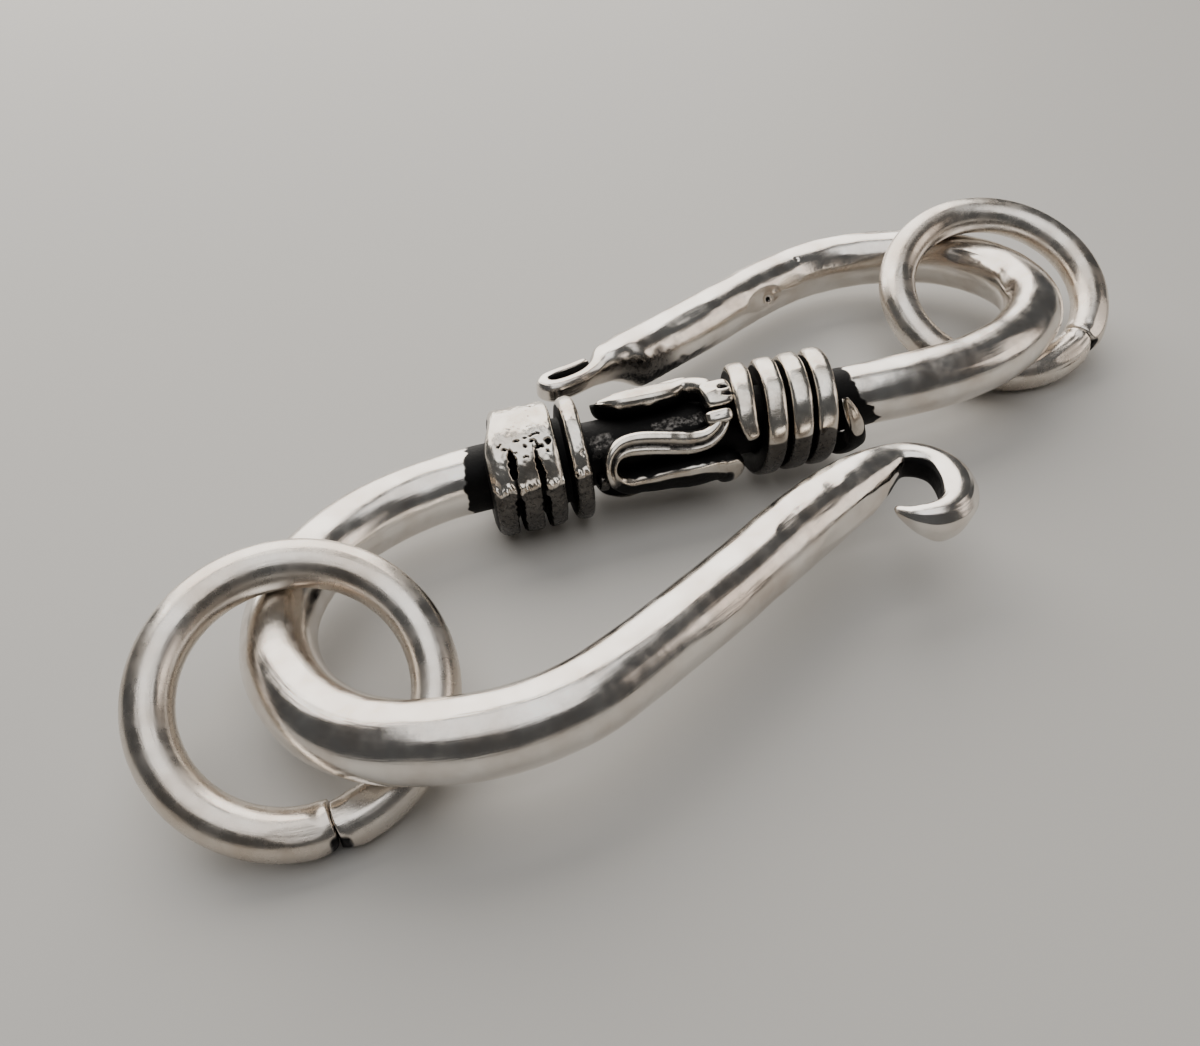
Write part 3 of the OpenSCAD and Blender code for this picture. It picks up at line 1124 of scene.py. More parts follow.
@dataclass
class PetalWrap(Rolled):
    """Thin wire laid round the shaft as three petals in one closed zigzag, melted together at the right."""

    name: str = "petal_wrap_look"
    petal_line: list[PetalPoint] = field(default_factory=lambda: [
        PetalPoint(1.36, -46, 0.6, 0.5), PetalPoint(1.3, -38, 0.62, 0.25), PetalPoint(1.1, -29, 0.62, 0.04),
        PetalPoint(0.78, -20, 0.68), PetalPoint(0.38, -14.5, 0.74), PetalPoint(-0.1, -13.5, 0.78),
        PetalPoint(-0.6, -16.5, 0.78), PetalPoint(-1.2, -21, 0.78), PetalPoint(-2.0, -25.5, 0.8),
        PetalPoint(-2.6, -25.0, 0.74), PetalPoint(-3.02, -17, 0.6), PetalPoint(-3.2, -2, 0.5),
        PetalPoint(-3.02, 13, 0.58), PetalPoint(-2.6, 22.5, 0.7), PetalPoint(-2.0, 26.5, 0.78),
        PetalPoint(-1.2, 26, 0.78), PetalPoint(-0.4, 24.5, 0.78), PetalPoint(0.2, 24, 0.76, 0.0, 1),
        PetalPoint(0.65, 24.5, 0.74, 0.0, 6), PetalPoint(1.0, 25.5, 0.74, 0.05, 14),
        PetalPoint(1.24, 29, 0.74, 0.2, 23)])
    petals: list[Petal] = field(default_factory=lambda: [
        Petal(-34.5, 1.36, 1.0, short=0.26, sunk=0.5, waist=0.36, first_dip=0.0),
        Petal(82, 1.12, 0.1, spread=0.5, last_dip=0.0),
        Petal(204.5, 1.0, 0.6, first_dip=0.0, last_dip=0.0)])
    lumps: list[Lump] = field(default_factory=lambda: [
        Lump(1.2, 17.0, 1.7, 0.56, 0.54, 0.41, 61, 0.0, 0.025, 4.5, ((0.5, -0.12), (0.62, 0.4))),
        Lump(1.04, 46.0, 1.7, 0.52, 0.24, 0.42, 62, 0.0, 0.02, 3.5),
        Lump(-3.42, 108, 1.4, 0.2, 0.3, 0.26, 64, 0.4, 0.08)])
    sheet: Sheet = Sheet(1500, 56, 45.0, 2.6)
    inner: float = 1.22
    outer: float = 2.12
    flat: float = 0.45
    pieces_per_span: int = 12
    # Angle of a petal's line from which it is the lower strand.
    lower_from: float = 13.0
    # Middles and half widths, in mm along the shaft, of the beaten stretch and the waist.
    beaten_at: tuple[float, float] = (-1.3, 1.5)
    waist_at: tuple[float, float] = (0.36, 0.36)
    # Stretches of the shaft where the lower strand widens and the left bend is shortened and pressed in.
    spread_over: tuple[float, float] = (-2.2, 0.4)
    short_over: tuple[float, float] = (-3.2, -1.6)
    sunk_over: tuple[float, float] = (-3.25, -2.9)
    # The channel: its place across the wire, its depth, and the angles where it sets in and ends.
    channel_at: tuple[float, float] = (0.12, 0.2)
    channel_depth: float = 0.13
    channel_starts: tuple[float, float] = (44.0, 54.0)
    channel_ends: tuple[float, float] = (80.0, 96.0)
    channel_black: float = 0.5
    # Polishing: what it took off, the radius that it reached, and how much deeper it went round one angle.
    polish: float = 0.03
    polished_above: float = 1.88
    deeper: float = 0.16
    deeper_at: tuple[float, float] = (-8.0, 22.0)
    # Painted shade on the strands that face down: in front from one stretch of angles on, and at the back,
    # which begins at an angle of its own, up to another.
    front_painted_shade: float = 0.85
    front_painted_shade_over: tuple[float, float] = (84.0, 104.0)
    back_painted_shade: float = 0.3
    back_painted_shade_over: tuple[float, float] = (250.0, 280.0)
    back_from: float = 150.0
    hand: Ripple = Ripple(seed=21, height=0.028, length=1.8, waves=14)
    edge: Ripple = Ripple(seed=22, height=0.035, length=0.6, waves=20, around=4)

    def __post_init__(self) -> None:
        """Lays the wire."""
        line = self.line()
        self.dip = line[:, 3]
        self.laid = LaidWire(line[:, 0], line[:, 1], line[:, 2], self.inner, self.outer, self.flat,
                             closed=True)

    def line(self) -> np.ndarray:
        """Centre line, smoothed on the unrolled shaft.

        Returns:
            Place along the shaft, angle, width and dip, one row for each step.
        """
        flat = []
        for petal in self.petals:
            for point in self.petal_line:
                lower = point.angle > self.lower_from
                beaten = (petal.beaten - 1.0) * float(hump(point.x, *self.beaten_at))
                wide = point.width * (1.0 + beaten)
                grown = petal.spread * float(smooth(*self.spread_over, point.x)) if lower else 0.0
                grown -= petal.waist * wide * float(hump(point.x, *self.waist_at)) if lower else 0.0
                shift = math.degrees(grown / 2.0 / self.outer)
                turn = math.radians(petal.angle + point.angle + petal.droop * point.droop + shift)
                dip = point.dip * (petal.first_dip if point.angle < 0.0 else petal.last_dip)
                dip += petal.sunk * float(1.0 - smooth(*self.sunk_over, point.x))
                x = point.x + petal.short * float(1.0 - smooth(*self.short_over, point.x))
                flat.append((x, math.cos(turn), math.sin(turn), wide + grown, dip))
        curve = smooth_loop(np.array(flat), self.pieces_per_span)
        angle = np.degrees(np.unwrap(np.arctan2(curve[:, 2], curve[:, 1])))
        return np.stack([curve[:, 0], angle, curve[:, 3], curve[:, 4]], axis=1)

    def channel(self, s: np.ndarray, t: np.ndarray) -> np.ndarray:
        """Channel beaten along the middle petal's upper strand.

        Args:
            s: Share of the sheet's length, 0 to 1.
            t: Share of its girth, 0 to 1.

        Returns:
            Share of the channel's depth at each place.
        """
        angle = self.laid.along(s, self.laid.angle) % 360.0
        across = hump(np.cos(2.0 * math.pi * t), *self.channel_at) * (t < 0.5)
        return across * smooth(*self.channel_starts, angle) * (1.0 - smooth(*self.channel_ends, angle))

    def worn(self, s: np.ndarray, t: np.ndarray) -> np.ndarray:
        """Height lost from the wire's top.

        Args:
            s: Share of the sheet's length, 0 to 1.
            t: Share of its girth, 0 to 1.

        Returns:
            Height in mm at each place.
        """
        polish = np.clip(self.polish + self.hand.at(s * self.sheet.length, 0.0 * s), 0.0, None)
        dip = np.clip(self.laid.along(s, self.dip), 0.0, None)
        return polish + dip + self.channel_depth * self.channel(s, t)

    def shape(self, s: np.ndarray, t: np.ndarray) -> np.ndarray:
        """Skin of the petals' wire.

        Args:
            s: Share of the sheet's length, 0 to 1.
            t: Share of its girth, 0 to 1.

        Returns:
            Points in mm, one row for each place.
        """
        return PLACE.world(self.laid.skin(s, t, self.worn(s, t)))

    def tarnish_and_shade(self, s: np.ndarray, t: np.ndarray) -> np.ndarray:
        """Black on the flanks and in the channel, and painted shade on the strands that face down.

        Args:
            s: Share of the sheet's length, 0 to 1.
            t: Share of its girth, 0 to 1.

        Returns:
            Tarnish at each place.
        """
        angle = self.laid.along(s, self.laid.angle)
        a = angle % 360.0
        reached = self.polished_above - self.deeper * hump(wrapped(angle), *self.deeper_at)
        reached = reached + self.edge.at(s * self.sheet.length, 360.0 * t)
        rim = 0.3 - 0.35 * smooth(0.0, 1.0, self.laid.along(s, self.laid.x))
        # Painted shade: the strands that face down are darkened, most over their lower parts.
        shaded = self.front_painted_shade * (1.0 - smooth(rim, rim + 0.3, np.cos(2.0 * math.pi * t)))
        front = shaded * smooth(*self.front_painted_shade_over, a)
        back = self.back_painted_shade * (1.0 - smooth(*self.back_painted_shade_over, a))
        low = np.where(a < self.back_from, front, back)
        black = self.laid.oxide(t, reached, self.worn(s, t))
        return black + low + self.channel_black * self.channel(s, t)

    def build(self) -> bpy.types.Object:
        """Makes the petals' wire and melts its lumps on.

        Returns:
            The piece at the origin.
        """
        return joined(super().build(), [lump.build() for lump in self.lumps])


@dataclass
class CoilWrap(Rolled):
    """Thin wire wound four turns round the shaft, with a tapered start and a cut tail.

    The tables give its place along the shaft and its share of the full width by the degrees wound.
    """

    name: str = "coil_wrap_look"
    wound: Table = field(default_factory=lambda: [
        (0, 2.17), (20, 2.04), (40, 2.06), (80, 2.245), (440, 3.325), (800, 4.275), (1160, 5.225),
        (1260, 5.5), (1400, 6.22), (1430, 6.1), (1465, 5.72)])
    widths: Table = field(default_factory=lambda: [
        (0, 0.5), (5, 0.68), (14, 0.84), (28, 0.94), (60, 1.0), (440, 1.0), (1160, 1.0), (1300, 0.95),
        (1412, 0.86), (1430, 0.72), (1448, 0.56), (1458, 0.38), (1465, 0.16)])
    sheet: Sheet = Sheet(1500, 52, 44.0, 2.8)
    steps: int = 1300
    blend_steps: int = 9
    start: float = 80.0
    slant: float = 0.07
    slant_from: float = 30.0
    slant_ends: tuple[float, float] = (1250.0, 1400.0)
    wire: float = 0.8
    inner: float = 1.22
    outer: float = 2.19
    flat: float = 0.62
    start_round: float = 0.2
    tail_round: float = 0.08
    # Polishing: what it took off and the radius that it reached.
    polish: float = 0.015
    polished_above: float = 1.98
    # The tail's cut and the dip before it: their places, in shares of the wire's length, and their depths.
    cut_over: tuple[float, float] = (0.965, 1.0)
    cut_depth: float = 0.42
    dip_at: tuple[float, float] = (0.95, 0.03)
    dip_depth: float = 0.16
    # Film on the underside, from one angle round the shaft to another: painted shade below the ragged line
    # where the polishing stopped.
    film: float = 0.38
    dark_underside_from: float = 84.0
    dark_underside_ends: tuple[float, float] = (290.0, 320.0)
    hand: Ripple = Ripple(seed=31, height=0.02, length=1.7, waves=14)
    film_edge: Ripple = Ripple(seed=32, height=3.0, length=0.9, waves=12, around=3)

    def __post_init__(self) -> None:
        """Winds the wire."""
        wound = np.linspace(0.0, self.wound[-1][0], self.steps)
        x = softened(from_table(self.wound, wound), self.blend_steps)
        angle = self.start - wound
        leaning = 1.0 - smooth(*self.slant_ends, wound)
        x = x - self.slant * np.sin(np.radians(angle - self.slant_from)) * leaning
        width = self.wire * from_table(self.widths, wound)
        self.laid = LaidWire(x, angle, width, self.inner, self.outer, self.flat)

    def worn(self, s: np.ndarray, t: np.ndarray) -> np.ndarray:
        """Height lost from the wire's top, most at the cut tail.

        Args:
            s: Share of the sheet's length, 0 to 1.
            t: Share of its girth, 0 to 1.

        Returns:
            Height in mm at each place.
        """
        cut = self.cut_depth * smooth(*self.cut_over, s) * (0.5 + 0.5 * np.cos(2.0 * math.pi * t))
        cut = cut + self.dip_depth * hump(s, *self.dip_at)
        return np.clip(self.polish + self.hand.at(s * self.sheet.length, 180.0 * t), 0.0, None) + cut

    def shape(self, s: np.ndarray, t: np.ndarray) -> np.ndarray:
        """Skin of the coil, closed round at both ends.

        Args:
            s: Share of the sheet's length, 0 to 1.
            t: Share of its girth, 0 to 1.

        Returns:
            Points in mm, one row for each place.
        """
        end = np.minimum(s, 1.0 - s) * self.sheet.length
        closing = rounded_end(end, np.where(s < 0.5, self.start_round, self.tail_round))
        return PLACE.world(self.laid.skin(s, t, self.worn(s, t), closing))

    def tarnish_and_shade(self, s: np.ndarray, t: np.ndarray) -> np.ndarray:
        """Black between the turns, painted shade on the underside and over the last turn, and bare silver on
        the cut tail.

        Args:
            s: Share of the sheet's length, 0 to 1.
            t: Share of its girth, 0 to 1.

        Returns:
            Tarnish at each place.
        """
        c = np.cos(2.0 * math.pi * t)
        cut = smooth(0.0, 0.004, s - 0.966 - 0.012 * c ** 2) * (np.sin(2.0 * math.pi * t) > -0.2)
        # Painted shade: the last turn is painted black, as it lies in shadow; only its cut stays bare.
        shaded_last_turn = smooth(0.9, 0.93, s)
        a = self.laid.along(s, self.laid.angle) % 360.0
        # Painted shade on the underside, below the ragged line where the polishing stopped.
        ragged = self.dark_underside_from + self.film_edge.at(s * self.sheet.length, 360.0 * t)
        low = self.film * smooth(ragged - 2.0, ragged + 2.0, a) * (1.0 - smooth(*self.dark_underside_ends, a))
        return (self.laid.oxide(t, self.polished_above) + low + shaded_last_turn) * (1.0 - cut)


@dataclass(frozen=True)
class Pit:
    """A small hole left in the melted solder, with its size along and round the shaft in mm."""

    x: float
    angle: float
    length: float
    breadth: float
    depth: float = 0.16

    def cut(self, x: np.ndarray, round_way: np.ndarray) -> np.ndarray:
        """Depth of the pit at places along the shaft and distances from the pit round the shaft, in mm."""
        away = np.hypot((x - self.x) / self.length, round_way / self.breadth)
        return self.depth * (1.0 - smooth(0.6, 1.5, away))


@dataclass(frozen=True)
class Groove:
    """A stretch of the gap between two melted turns that stayed open, from one angle to another."""

    x: float
    top: float
    bottom: float
    half_width: float
    lean: float = 0.0
    depth: float = 0.5

    def cut(self, x: np.ndarray, angle: np.ndarray, left_edge: np.ndarray,
            right_edge: np.ndarray) -> np.ndarray:
        """Depth of the groove, which narrows to a point at both ends.

        Args:
            x: Place along the shaft.
            angle: Angle from the top towards the near side in degrees.
            left_edge: How far the groove's left edge is torn outwards in mm.
            right_edge: How far its right edge is torn outwards in mm.

        Returns:
            Depth in mm at each place.
        """
        here = (smooth(self.top - 3.0, self.top + 6.0, angle)
                * (1.0 - smooth(self.bottom - 4.0, self.bottom + 2.0, angle))) ** 0.35
        away = x - self.x - self.lean * (angle - self.top)
        low = away + self.half_width * here + left_edge
        high = self.half_width * here + right_edge - away
        return self.depth * smooth(0.2, 0.6, here) * smooth(-0.03, 0.04, low) * smooth(-0.03, 0.04, high)


@dataclass
class Collar(Rolled):
    """Melted turns at the sleeve's left end, flooded with solder on top, and one separate turn."""

    name: str = "wrapped_collar_look"
    sheet: Sheet = Sheet(200, 480, 8.0, 14.5)
    outline: Table = field(default_factory=lambda: [
        (-7.42, 1.2), (-7.5, 1.6), (-7.5, 1.9), (-7.44, 2.1), (-7.3, 2.24), (-7.1, 2.3), (-6.9, 2.31),
        (-5.7, 2.31), (-5.1, 2.29), (-4.96, 2.24), (-4.9, 2.08), (-4.88, 1.6), (-4.58, 1.56), (-4.56, 2.0),
        (-4.52, 2.16), (-4.42, 2.26), (-4.2, 2.3), (-4.0, 2.27), (-3.91, 2.14), (-3.88, 1.85), (-3.9, 1.2)])
    outline_steps: int = 400
    blend_steps: int = 6
    pits: list[Pit] = field(default_factory=lambda: [
        Pit(-6.95, 32, 0.05, 0.03), Pit(-6.75, 37, 0.06, 0.05), Pit(-6.3, 31, 0.06, 0.03),
        Pit(-6.02, 37, 0.07, 0.04), Pit(-5.62, 28, 0.13, 0.04), Pit(-5.74, 33, 0.08, 0.05),
        Pit(-5.64, 37, 0.07, 0.1), Pit(-5.5, 40, 0.13, 0.05), Pit(-5.2, 36, 0.09, 0.09),
        Pit(-5.3, 45, 0.05, 0.04), Pit(-6.36, 42, 0.07, 0.03), Pit(-6.05, 47, 0.06, 0.03),
        Pit(-5.95, 29, 0.05, 0.03), Pit(-5.63, 7, 0.04, 0.03, 0.07), Pit(-5.72, 19, 0.05, 0.02, 0.07),
        Pit(-6.42, 18, 0.06, 0.02, 0.05), Pit(-4.15, 55, 0.07, 0.1, 0.05), Pit(-6.6, -12, 0.08, 0.03, 0.06),
        Pit(-5.4, -14, 0.12, 0.06, 0.06), Pit(-5.65, -5, 0.06, 0.02, 0.05), Pit(-6.1, 160, 0.1, 0.06, 0.08),
        Pit(-5.1, 200, 0.08, 0.08, 0.1), Pit(-6.9, 245, 0.07, 0.05, 0.08), Pit(-5.5, -70, 0.1, 0.05, 0.08)])
    pit_radius: float = 2.3
    grooves: list[Groove] = field(default_factory=lambda: [
        Groove(-6.6, 39, 47, 0.055), Groove(-6.57, 44, 63, 0.13, -0.002), Groove(-6.6, 84, 322, 0.125),
        Groove(-5.7, 51, 69, 0.115, 0.004), Groove(-5.66, 67, 78, 0.07), Groove(-5.66, 87, 330, 0.13)])
    # The band's turns are rounded off to both sides of their middles where they show as turns.
    turn_middles: tuple[float, ...] = (-7.05, -6.13, -5.28)
    turn_half: float = 0.45
    turn_edge: float = 0.48
    turn_fall: float = 0.09
    band_end: float = -4.95
    # Where the solder stopped, as an angle, and the height of the ridge there in mm.
    solder_stop: float = 74.0
    solder_height: float = 0.115
    # Shift of the band's left end and of its right end to the right on the shaft's top, in mm.
    left_shift: float = 0.42
    right_shift: float = 0.06
    # Painted shade: a thin film on the collar's underside, below the solder's end.
    film: float = 0.4
    left_tear: Ripple = Ripple(seed=41, height=0.028, length=3.0, waves=24, around=64)
    right_tear: Ripple = Ripple(seed=42, height=0.028, length=3.0, waves=24, around=64)
    lumps: Ripple = Ripple(seed=43, height=0.013, length=1.0, waves=36, around=16)
    grain: Ripple = Ripple(seed=44, height=0.0035, length=0.24, waves=60, around=60)
    ragged: Ripple = Ripple(seed=45, height=2.6, length=0.8, waves=14, around=0)
    crumbs: Ripple = Ripple(seed=46, height=1.0, length=0.25, waves=16, around=40)
    bent: Ripple = Ripple(seed=48, height=0.05, length=0.3, waves=24, around=44)
    twist: Ripple = Ripple(seed=49, height=0.05, length=0.3, waves=24, around=44)

    def base(self, s: np.ndarray) -> tuple[np.ndarray, np.ndarray]:
        """Outline of the collar with its corners softened.

        Args:
            s: Share of the outline's length, 0 to 1.

        Returns:
            Place along the shaft and radius, in mm.
        """
        points = np.array(self.outline)
        length = np.concatenate([[0.0], np.linalg.norm(np.diff(points, axis=0), axis=1).cumsum()])
        fine = np.linspace(0.0, length[-1], self.outline_steps)
        xs = softened(np.interp(fine, length, points[:, 0]), self.blend_steps)
        rs = softened(np.interp(fine, length, points[:, 1]), self.blend_steps)
        return np.interp(s * length[-1], fine, xs), np.interp(s * length[-1], fine, rs)

    def hollow(self, x: np.ndarray, angle: np.ndarray) -> np.ndarray:
        """Depth of the grooves between the turns, of the turns' rounding and of the pits.

        Args:
            x: Place along the shaft.
            angle: Angle from the top towards the near side in degrees.

        Returns:
            Depth in mm at each place.
        """
        a = angle % 360.0
        a = np.where(a > 340.0, a - 360.0, a)
        left_edge = self.left_tear.at(0.0 * x, angle)
        right_edge = self.right_tear.at(0.0 * x, angle)
        depth = np.zeros_like(x)
        for groove in self.grooves:
            depth = np.maximum(depth, groove.cut(x, a, left_edge, right_edge))
        parted = smooth(30.0, 55.0, a) * (1.0 - smooth(318.0, 345.0, a))
        for middle in self.turn_middles:
            away = np.abs(x - middle)
            fall = self.turn_fall * parted * np.clip(away / self.turn_half, 0.0, 1.0) ** 2.5
            depth += fall * (x < self.band_end) * (away < self.turn_edge)
        bent = self.bent.at(x, angle)
        twist = self.twist.at(x, angle)
        for pit in self.pits:
            round_way = np.radians(wrapped(a - pit.angle)) * self.pit_radius + twist
            depth += pit.cut(x + bent, round_way)
        return depth

    def solder_end(self, x: np.ndarray) -> np.ndarray:
        """Ragged line at which the solder stopped.

        Args:
            x: Place along the shaft.

        Returns:
            Angle from the top towards the near side in degrees.
        """
        stop = self.solder_stop + self.ragged.at(x, 0.0 * x)
        return stop - 7.0 * (1.0 - smooth(-7.45, -7.2, x)) - 3.0 * smooth(-4.4, -3.9, x)

    def solder(self, x: np.ndarray, angle: np.ndarray) -> np.ndarray:
        """Height of the ridge along the solder's end, broader between the turns.

        Args:
            x: Place along the shaft.
            angle: Angle from the top towards the near side in degrees.

        Returns:
            Height in mm at each place.
        """
        wide = 4.0 + 4.0 * hump(x, -6.58, 0.14) + 3.0 * hump(x, -5.62, 0.12)
        crumbs = 1.0 + 0.4 * self.crumbs.at(x, angle)
        ridge = self.solder_height * hump(wrapped(angle), self.solder_end(x), wide)
        return ridge * np.clip(crumbs, 0.5, 2.0)

    def shift(self, x: np.ndarray, angle: np.ndarray) -> np.ndarray:
        """Shift of both ends to the right on the shaft's top, where the first turn sets off.

        Args:
            x: Place along the shaft.
            angle: Angle from the top towards the near side in degrees.

        Returns:
            Shift in mm at each place.
        """
        a = wrapped(angle)
        turned = (1.0 - smooth(-18.0, 44.0, a)) * smooth(-150.0, -50.0, a)
        left = self.left_shift * turned * (1.0 - smooth(-7.5, -6.4, x))
        return left + self.right_shift * turned * smooth(-5.4, -4.9, x)

    def shape(self, s: np.ndarray, t: np.ndarray) -> np.ndarray:
        """Skin of the collar.

        Args:
            s: Share of the sheet's length, 0 to 1.
            t: Share of its girth, 0 to 1.

        Returns:
            Points in mm, one row for each place.
        """
        x, r = self.base(s)
        angle = 360.0 * t
        melted = self.lumps.at(x, angle) + self.grain.at(x, angle) + self.solder(x, angle)
        r = r + smooth(1.5, 2.05, r) * (melted - self.hollow(x, angle))
        return PLACE.world(round_shaft(x + self.shift(x, angle), angle, r))

    def tarnish_and_shade(self, s: np.ndarray, t: np.ndarray) -> np.ndarray:
        """Black in the grooves and pits and under the rims, with a thin film of painted shade below the
        solder's end.

        Args:
            s: Share of the sheet's length, 0 to 1.
            t: Share of its girth, 0 to 1.

        Returns:
            Tarnish at each place, 0 to 1.
        """
        x, r = self.base(s)
        angle = 360.0 * t
        a = angle % 360.0
        end = self.solder_end(x)
        # Painted shade on the collar's underside, below the solder's end.
        low = self.film * smooth(end + 1.0, end + 3.5, a) * (1.0 - smooth(300.0, 330.0, a))
        hidden = 1.0 - smooth(1.95, 2.15, r)
        return np.clip(smooth(0.05, 0.1, self.hollow(x, angle)) + hidden + low, 0.0, 1.0)


@dataclass(frozen=True)
class Joint:
    """Where a ring's ends meet: its place round the ring, the ends' misfit and the notch left between them.

    The notch faces one way round the wire and fades over its spread, both in degrees. Black is how much
    oxide is left in the crease outside the notch.
    """

    place: float
    step: float
    notch_angle: float
    notch_spread: float
    notch_depth: float
    notch_reach: float
    black: float
    crease_depth: float = 0.035
    crease_reach: float = 0.14
    gap: float = 0.004

    def notch(self, angle: np.ndarray) -> np.ndarray:
        """Share of the notch at each angle round the wire."""
        return hump(wrapped(angle - self.notch_angle), 0.0, self.notch_spread)

    def cut(self, end: np.ndarray, angle: np.ndarray) -> np.ndarray:
        """Depth of the crease and the notch.

        Args:
            end: Distance from the nearer end of the wire in mm.
            angle: Angle round the wire in degrees.

        Returns:
            Depth in mm.
        """
        notch = self.notch(angle)
        share = np.clip(end / (self.crease_reach + self.notch_reach * notch), 0.0, 1.0)
        return (self.crease_depth + self.notch_depth * notch) * (1.0 - np.sqrt(1.0 - (1.0 - share) ** 2))


@dataclass
class JumpRing(Rolled):
    """A round ring of thick wire, bent shut, with its joint showing.

    Its centre is seen from the shaft's middle, with the height over the floor. Its plane leans by an angle
    towards a direction, both in degrees. Places along its wire are distances from the joint, negative
    before it.
    """

    name: str
    centre: tuple[float, float, float]
    lean: float
    lean_towards: float
    joint: Joint
    seed: int
    facets: tuple[Dent, ...] = ()
    specks: tuple[Speck, ...] = ()
    radius: float = 4.11
    wire: float = 1.536
    sheet: Sheet = Sheet(640, 84, 25.8, 4.8)
    # The wire is worn near its ends, over some mm and by some mm, and its misfit dies away over some more.
    end_reach: float = 0.9
    end_loss: float = 0.02
    step_reach: float = 1.1

    def __post_init__(self) -> None:
        """Works out where the ring lies and how uneven it is."""
        lie = (Matrix.Rotation(math.radians(self.lean_towards), 3, "Z")
               @ Matrix.Rotation(math.radians(self.lean), 3, "Y")
               @ Matrix.Rotation(math.radians(self.joint.place), 3, "Z"))
        self.turned = np.array(lie).T
        self.middle = np.array(self.centre) + np.array([PLACE.middle[0], PLACE.middle[1], 0.0])
        self.full = 2.0 * math.pi * self.radius - self.joint.gap
        self.waves = Ripple(seed=self.seed, height=0.008, length=7.0, around=2)
        self.bites = Ripple(seed=self.seed + 10, height=0.03, length=0.9, waves=10, around=3)
        self.skew = Ripple(seed=self.seed + 20, height=0.06, length=1.0, waves=8, around=2)

    def shape(self, s: np.ndarray, t: np.ndarray) -> np.ndarray:
        """Skin of the ring, with worn ends that don't quite meet in line.

        Args:
            s: Share of the sheet's length, 0 to 1.
            t: Share of its girth, 0 to 1.

        Returns:
            Points in mm, one row for each place.
        """
        u = s * self.full
        angle = 360.0 * t
        end = np.minimum(u, self.full - u)
        near_end = 1.0 - smooth(0.0, self.end_reach, end)
        signed = np.where(u > self.full / 2.0, u - self.full, u)
        half = self.wire / 2.0
        r = half + self.waves.at(u, angle) + (self.bites.at(u, angle) - self.end_loss) * near_end
        r = r - self.joint.cut(end, angle)
        for speck in self.specks:
            r = r - speck.cut(signed, angle)
        r = np.where(end < 1e-6, 0.0, r)
        c = np.cos(2.0 * math.pi * t) * r
        n = np.sin(2.0 * math.pi * t) * r
        c, n = hammered(self.facets, signed, c, n, half, half)
        place = (u + self.joint.gap / 2.0 + self.skew.at(0.0 * u, angle) * near_end) / self.radius
        misfit = np.exp(-u / self.step_reach) - np.exp(-(self.full - u) / self.step_reach)
        out = self.radius + c + self.joint.step * misfit
        flat = np.stack([out * np.cos(place), out * np.sin(place), n], axis=1)
        return flat @ self.turned + self.middle

    def tarnish_and_shade(self, s: np.ndarray, t: np.ndarray) -> np.ndarray:
        """Black in the crease and the notch of the joint.

        Args:
            s: Share of the sheet's length, 0 to 1.
            t: Share of its girth, 0 to 1.

        Returns:
            Tarnish at each place.
        """
        u = s * self.full
        end = np.minimum(u, self.full - u)
        notch = self.joint.notch(360.0 * t)
        crease = self.joint.black * (1.0 - smooth(0.02, 0.12, end))
        return crease + 0.95 * smooth(0.1, 0.5, notch) * (1.0 - smooth(0.1, 0.34, end))


# The studio


@dataclass(frozen=True)
class SoftBox:
    """A square soft light, placed by direction and distance from the clasp."""

    name: str
    bearing: float
    elevation: float
    distance: float
    size: float
    power: float
    colour: str = "#ffffff"


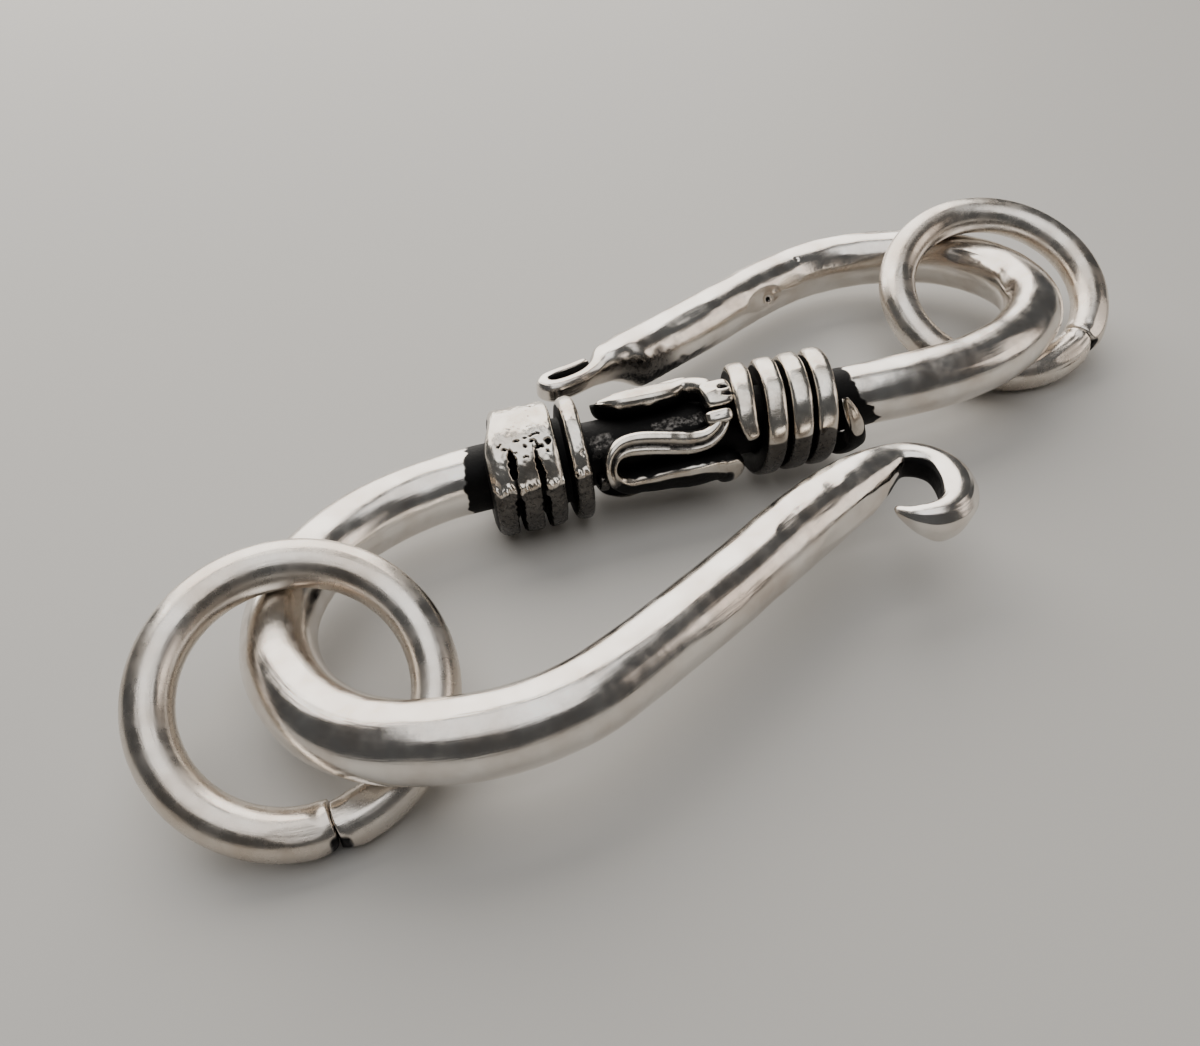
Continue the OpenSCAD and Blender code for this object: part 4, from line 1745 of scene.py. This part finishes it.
@dataclass
class Studio:
    """Pale floor, soft lights and the camera. Lengths are in mm, and bearings run clockwise from +Y."""

    view_bearing: float = 10.71
    view_down: float = 40.70
    view_roll: float = 4.72
    view_height: float = 26.67
    lens: float = 32.59
    sensor_width: float = 36.0
    clip_near: float = 2.0
    clip_far: float = 5000.0
    aim: tuple[float, float, float] = (-4.204, -0.584, 0.0)
    floor_width: float = 1200.0
    floor_colour: str = "#c1bfbb"
    floor_roughness: float = 0.6
    sky_colour: str = "#b9bbbd"
    sky_strength: float = 0.16
    boxes: tuple[SoftBox, ...] = (
        SoftBox("key_softbox", 354.0, 36.0, 220.0, 300.0, 0.9, "#fffaf3"),
        SoftBox("top_softbox", 186.0, 77.0, 200.0, 190.0, 0.18),
        SoftBox("side_fill", 105.0, 22.0, 180.0, 90.0, 0.04, "#fff2e6"))

    def floor(self) -> None:
        """Lays the pale floor."""
        bpy.ops.object.select_all(action="DESELECT")
        bpy.ops.mesh.primitive_plane_add(size=self.floor_width * MM, location=(0.0, 0.0, 0.0))
        plane = bpy.context.object
        plane.name = "studio_floor"
        card = bpy.data.materials.new("pale_card")
        card.use_nodes = True
        card.node_tree.nodes.clear()
        shader = add_node(
            card, "ShaderNodeBsdfPrincipled",
            {"in:Base Color": linear(self.floor_colour), "in:Roughness": self.floor_roughness})
        add_node(card, "ShaderNodeOutputMaterial", {}, {"Surface": shader.outputs[0]})
        plane.data.materials.append(card)

    def direction(self, bearing: float, elevation: float) -> Vector:
        """Unit vector towards a point of the room.

        Args:
            bearing: Degrees clockwise from +Y, seen from above.
            elevation: Degrees over the floor.

        Returns:
            The vector.
        """
        b = math.radians(bearing)
        e = math.radians(elevation)
        return Vector((math.sin(b) * math.cos(e), math.cos(b) * math.cos(e), math.sin(e)))

    def lights(self) -> None:
        """Hangs the soft boxes round the clasp."""
        for box in self.boxes:
            towards = self.direction(box.bearing, box.elevation)
            data = bpy.data.lights.new(box.name, "AREA")
            data.shape = "SQUARE"
            data.size = box.size * MM
            data.energy = box.power
            data.color = linear(box.colour)[:3]
            lamp = bpy.data.objects.new(box.name, data)
            lamp.location = towards * box.distance * MM
            lamp.rotation_euler = towards.to_track_quat("Z", "Y").to_euler()
            bpy.context.scene.collection.objects.link(lamp)

    def sky(self) -> None:
        """Sets the even light of the room."""
        world = bpy.data.worlds.new("studio")
        world.use_nodes = True
        back = world.node_tree.nodes["Background"]
        back.inputs["Color"].default_value = linear(self.sky_colour)
        back.inputs["Strength"].default_value = self.sky_strength
        bpy.context.scene.world = world

    def camera(self) -> None:
        """Sets up the camera at the viewing angle."""
        bearing = math.radians(self.view_bearing)
        roll = math.radians(self.view_roll)
        forward = self.direction(self.view_bearing, -self.view_down)
        right = Vector((math.cos(bearing), -math.sin(bearing), 0.0))
        down = forward.cross(right)
        x_axis = right * math.cos(roll) + down * math.sin(roll)
        y_axis = -(down * math.cos(roll) - right * math.sin(roll))
        data = bpy.data.cameras.new("camera")
        data.lens = self.lens
        data.sensor_width = self.sensor_width
        data.clip_start = self.clip_near * MM
        data.clip_end = self.clip_far * MM
        camera = bpy.data.objects.new("camera", data)
        distance = self.view_height / math.sin(math.radians(self.view_down))
        place = (Vector(self.aim) - forward * distance) * MM
        camera.matrix_world = Matrix((
            (x_axis.x, y_axis.x, -forward.x, place.x),
            (x_axis.y, y_axis.y, -forward.y, place.y),
            (x_axis.z, y_axis.z, -forward.z, place.z),
            (0.0, 0.0, 0.0, 1.0)))
        bpy.context.scene.collection.objects.link(camera)
        bpy.context.scene.camera = camera


class Slot(Enum):
    """Finish slots of the clasp."""

    HOOK = "polished_silver"
    SLEEVE = "oxidised_silver"
    RING = "ring_silver"


@dataclass
class Clasp:
    """The whole clasp: each piece with the node that it stands for and its finish."""

    # Hook: a bright hand polish with long streaks. Sleeve: melted silver with black hollows. Rings: satin.
    finishes: dict[Slot, SilverFinish] = field(default_factory=lambda: {
        Slot.HOOK: SilverFinish("polished_silver"),
        Slot.SLEEVE: SilverFinish(
            "oxidised_silver", bright="#ede7dd", warm="#c4b8aa", roughness=0.19, grain_mm=0.4,
            hairline_mm=0.13, wave_depth_mm=0.01, hairline_depth_mm=0.004, draw_depth_mm=0.006),
        Slot.RING: SilverFinish(
            "tumbled_silver", bright="#e9e2d9", warm="#cdc0b2", roughness=0.24, grain_mm=0.8,
            hairline_mm=0.12, wave_depth_mm=0.008, hairline_depth_mm=0.002)})
    # Both rings have plier flats beside their joints, and the far one also has nicks there.
    near_ring: JumpRing = field(default_factory=lambda: JumpRing(
        name="near_ring_look", centre=(-14.581, -8.752, 2.628), lean=26.9, lean_towards=-76.4, seed=51,
        joint=Joint(355.5, 0.04, 2.0, 42.0, 0.32, 0.5, black=0.1, crease_depth=0.024),
        facets=(Dent(1.0, 105, 2.6, 0.05), Dent(-0.8, 80, 2.0, 0.05))))
    far_ring: JumpRing = field(default_factory=lambda: JumpRing(
        name="far_ring_look", centre=(15.719, 5.614, 2.538), lean=25.5, lean_towards=-96.5, seed=52,
        joint=Joint(43.0, 0.03, 2.0, 38.0, 0.5, 0.46, black=0.16),
        facets=(Dent(0.9, 60, 2.4, 0.05), Dent(-0.9, 70, 2.2, 0.05)),
        specks=(Speck(-0.8, 72, 0.8, 0.07, 0.04), Speck(-1.0, 42, 0.9, 0.06, 0.04),
                Speck(-0.7, 100, 0.7, 0.06, 0.03), Speck(0.5, 55, 0.5, 0.07, 0.03))))

    def assemble(self) -> None:
        """Builds, dresses and reports every piece."""
        dressed = {slot: finish.build() for slot, finish in self.finishes.items()}
        pieces = (
            (HookWire(), "s_wire", Slot.HOOK), (Collar(), "wrapped_collar", Slot.SLEEVE),
            (PetalWrap(), "petal_wrap", Slot.SLEEVE), (CoilWrap(), "coil_wrap", Slot.SLEEVE),
            (self.near_ring, "near_ring", Slot.RING), (self.far_ring, "far_ring", Slot.RING))
        for maker, node, slot in pieces:
            piece = maker.build()
            piece.data.materials.clear()
            piece.data.materials.append(dressed[slot])
            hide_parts(node)
            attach(piece, "root")
            LOG.info("%s: %d faces", piece.name, len(piece.data.polygons))


def main() -> None:
    """Builds the clasp and its studio."""
    logging.basicConfig(level=logging.INFO, format="%(name)s: %(message)s")
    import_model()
    studio = Studio()
    studio.camera()
    studio.floor()
    studio.lights()
    studio.sky()
    Clasp().assemble()


if __name__ == "__main__":
    main()
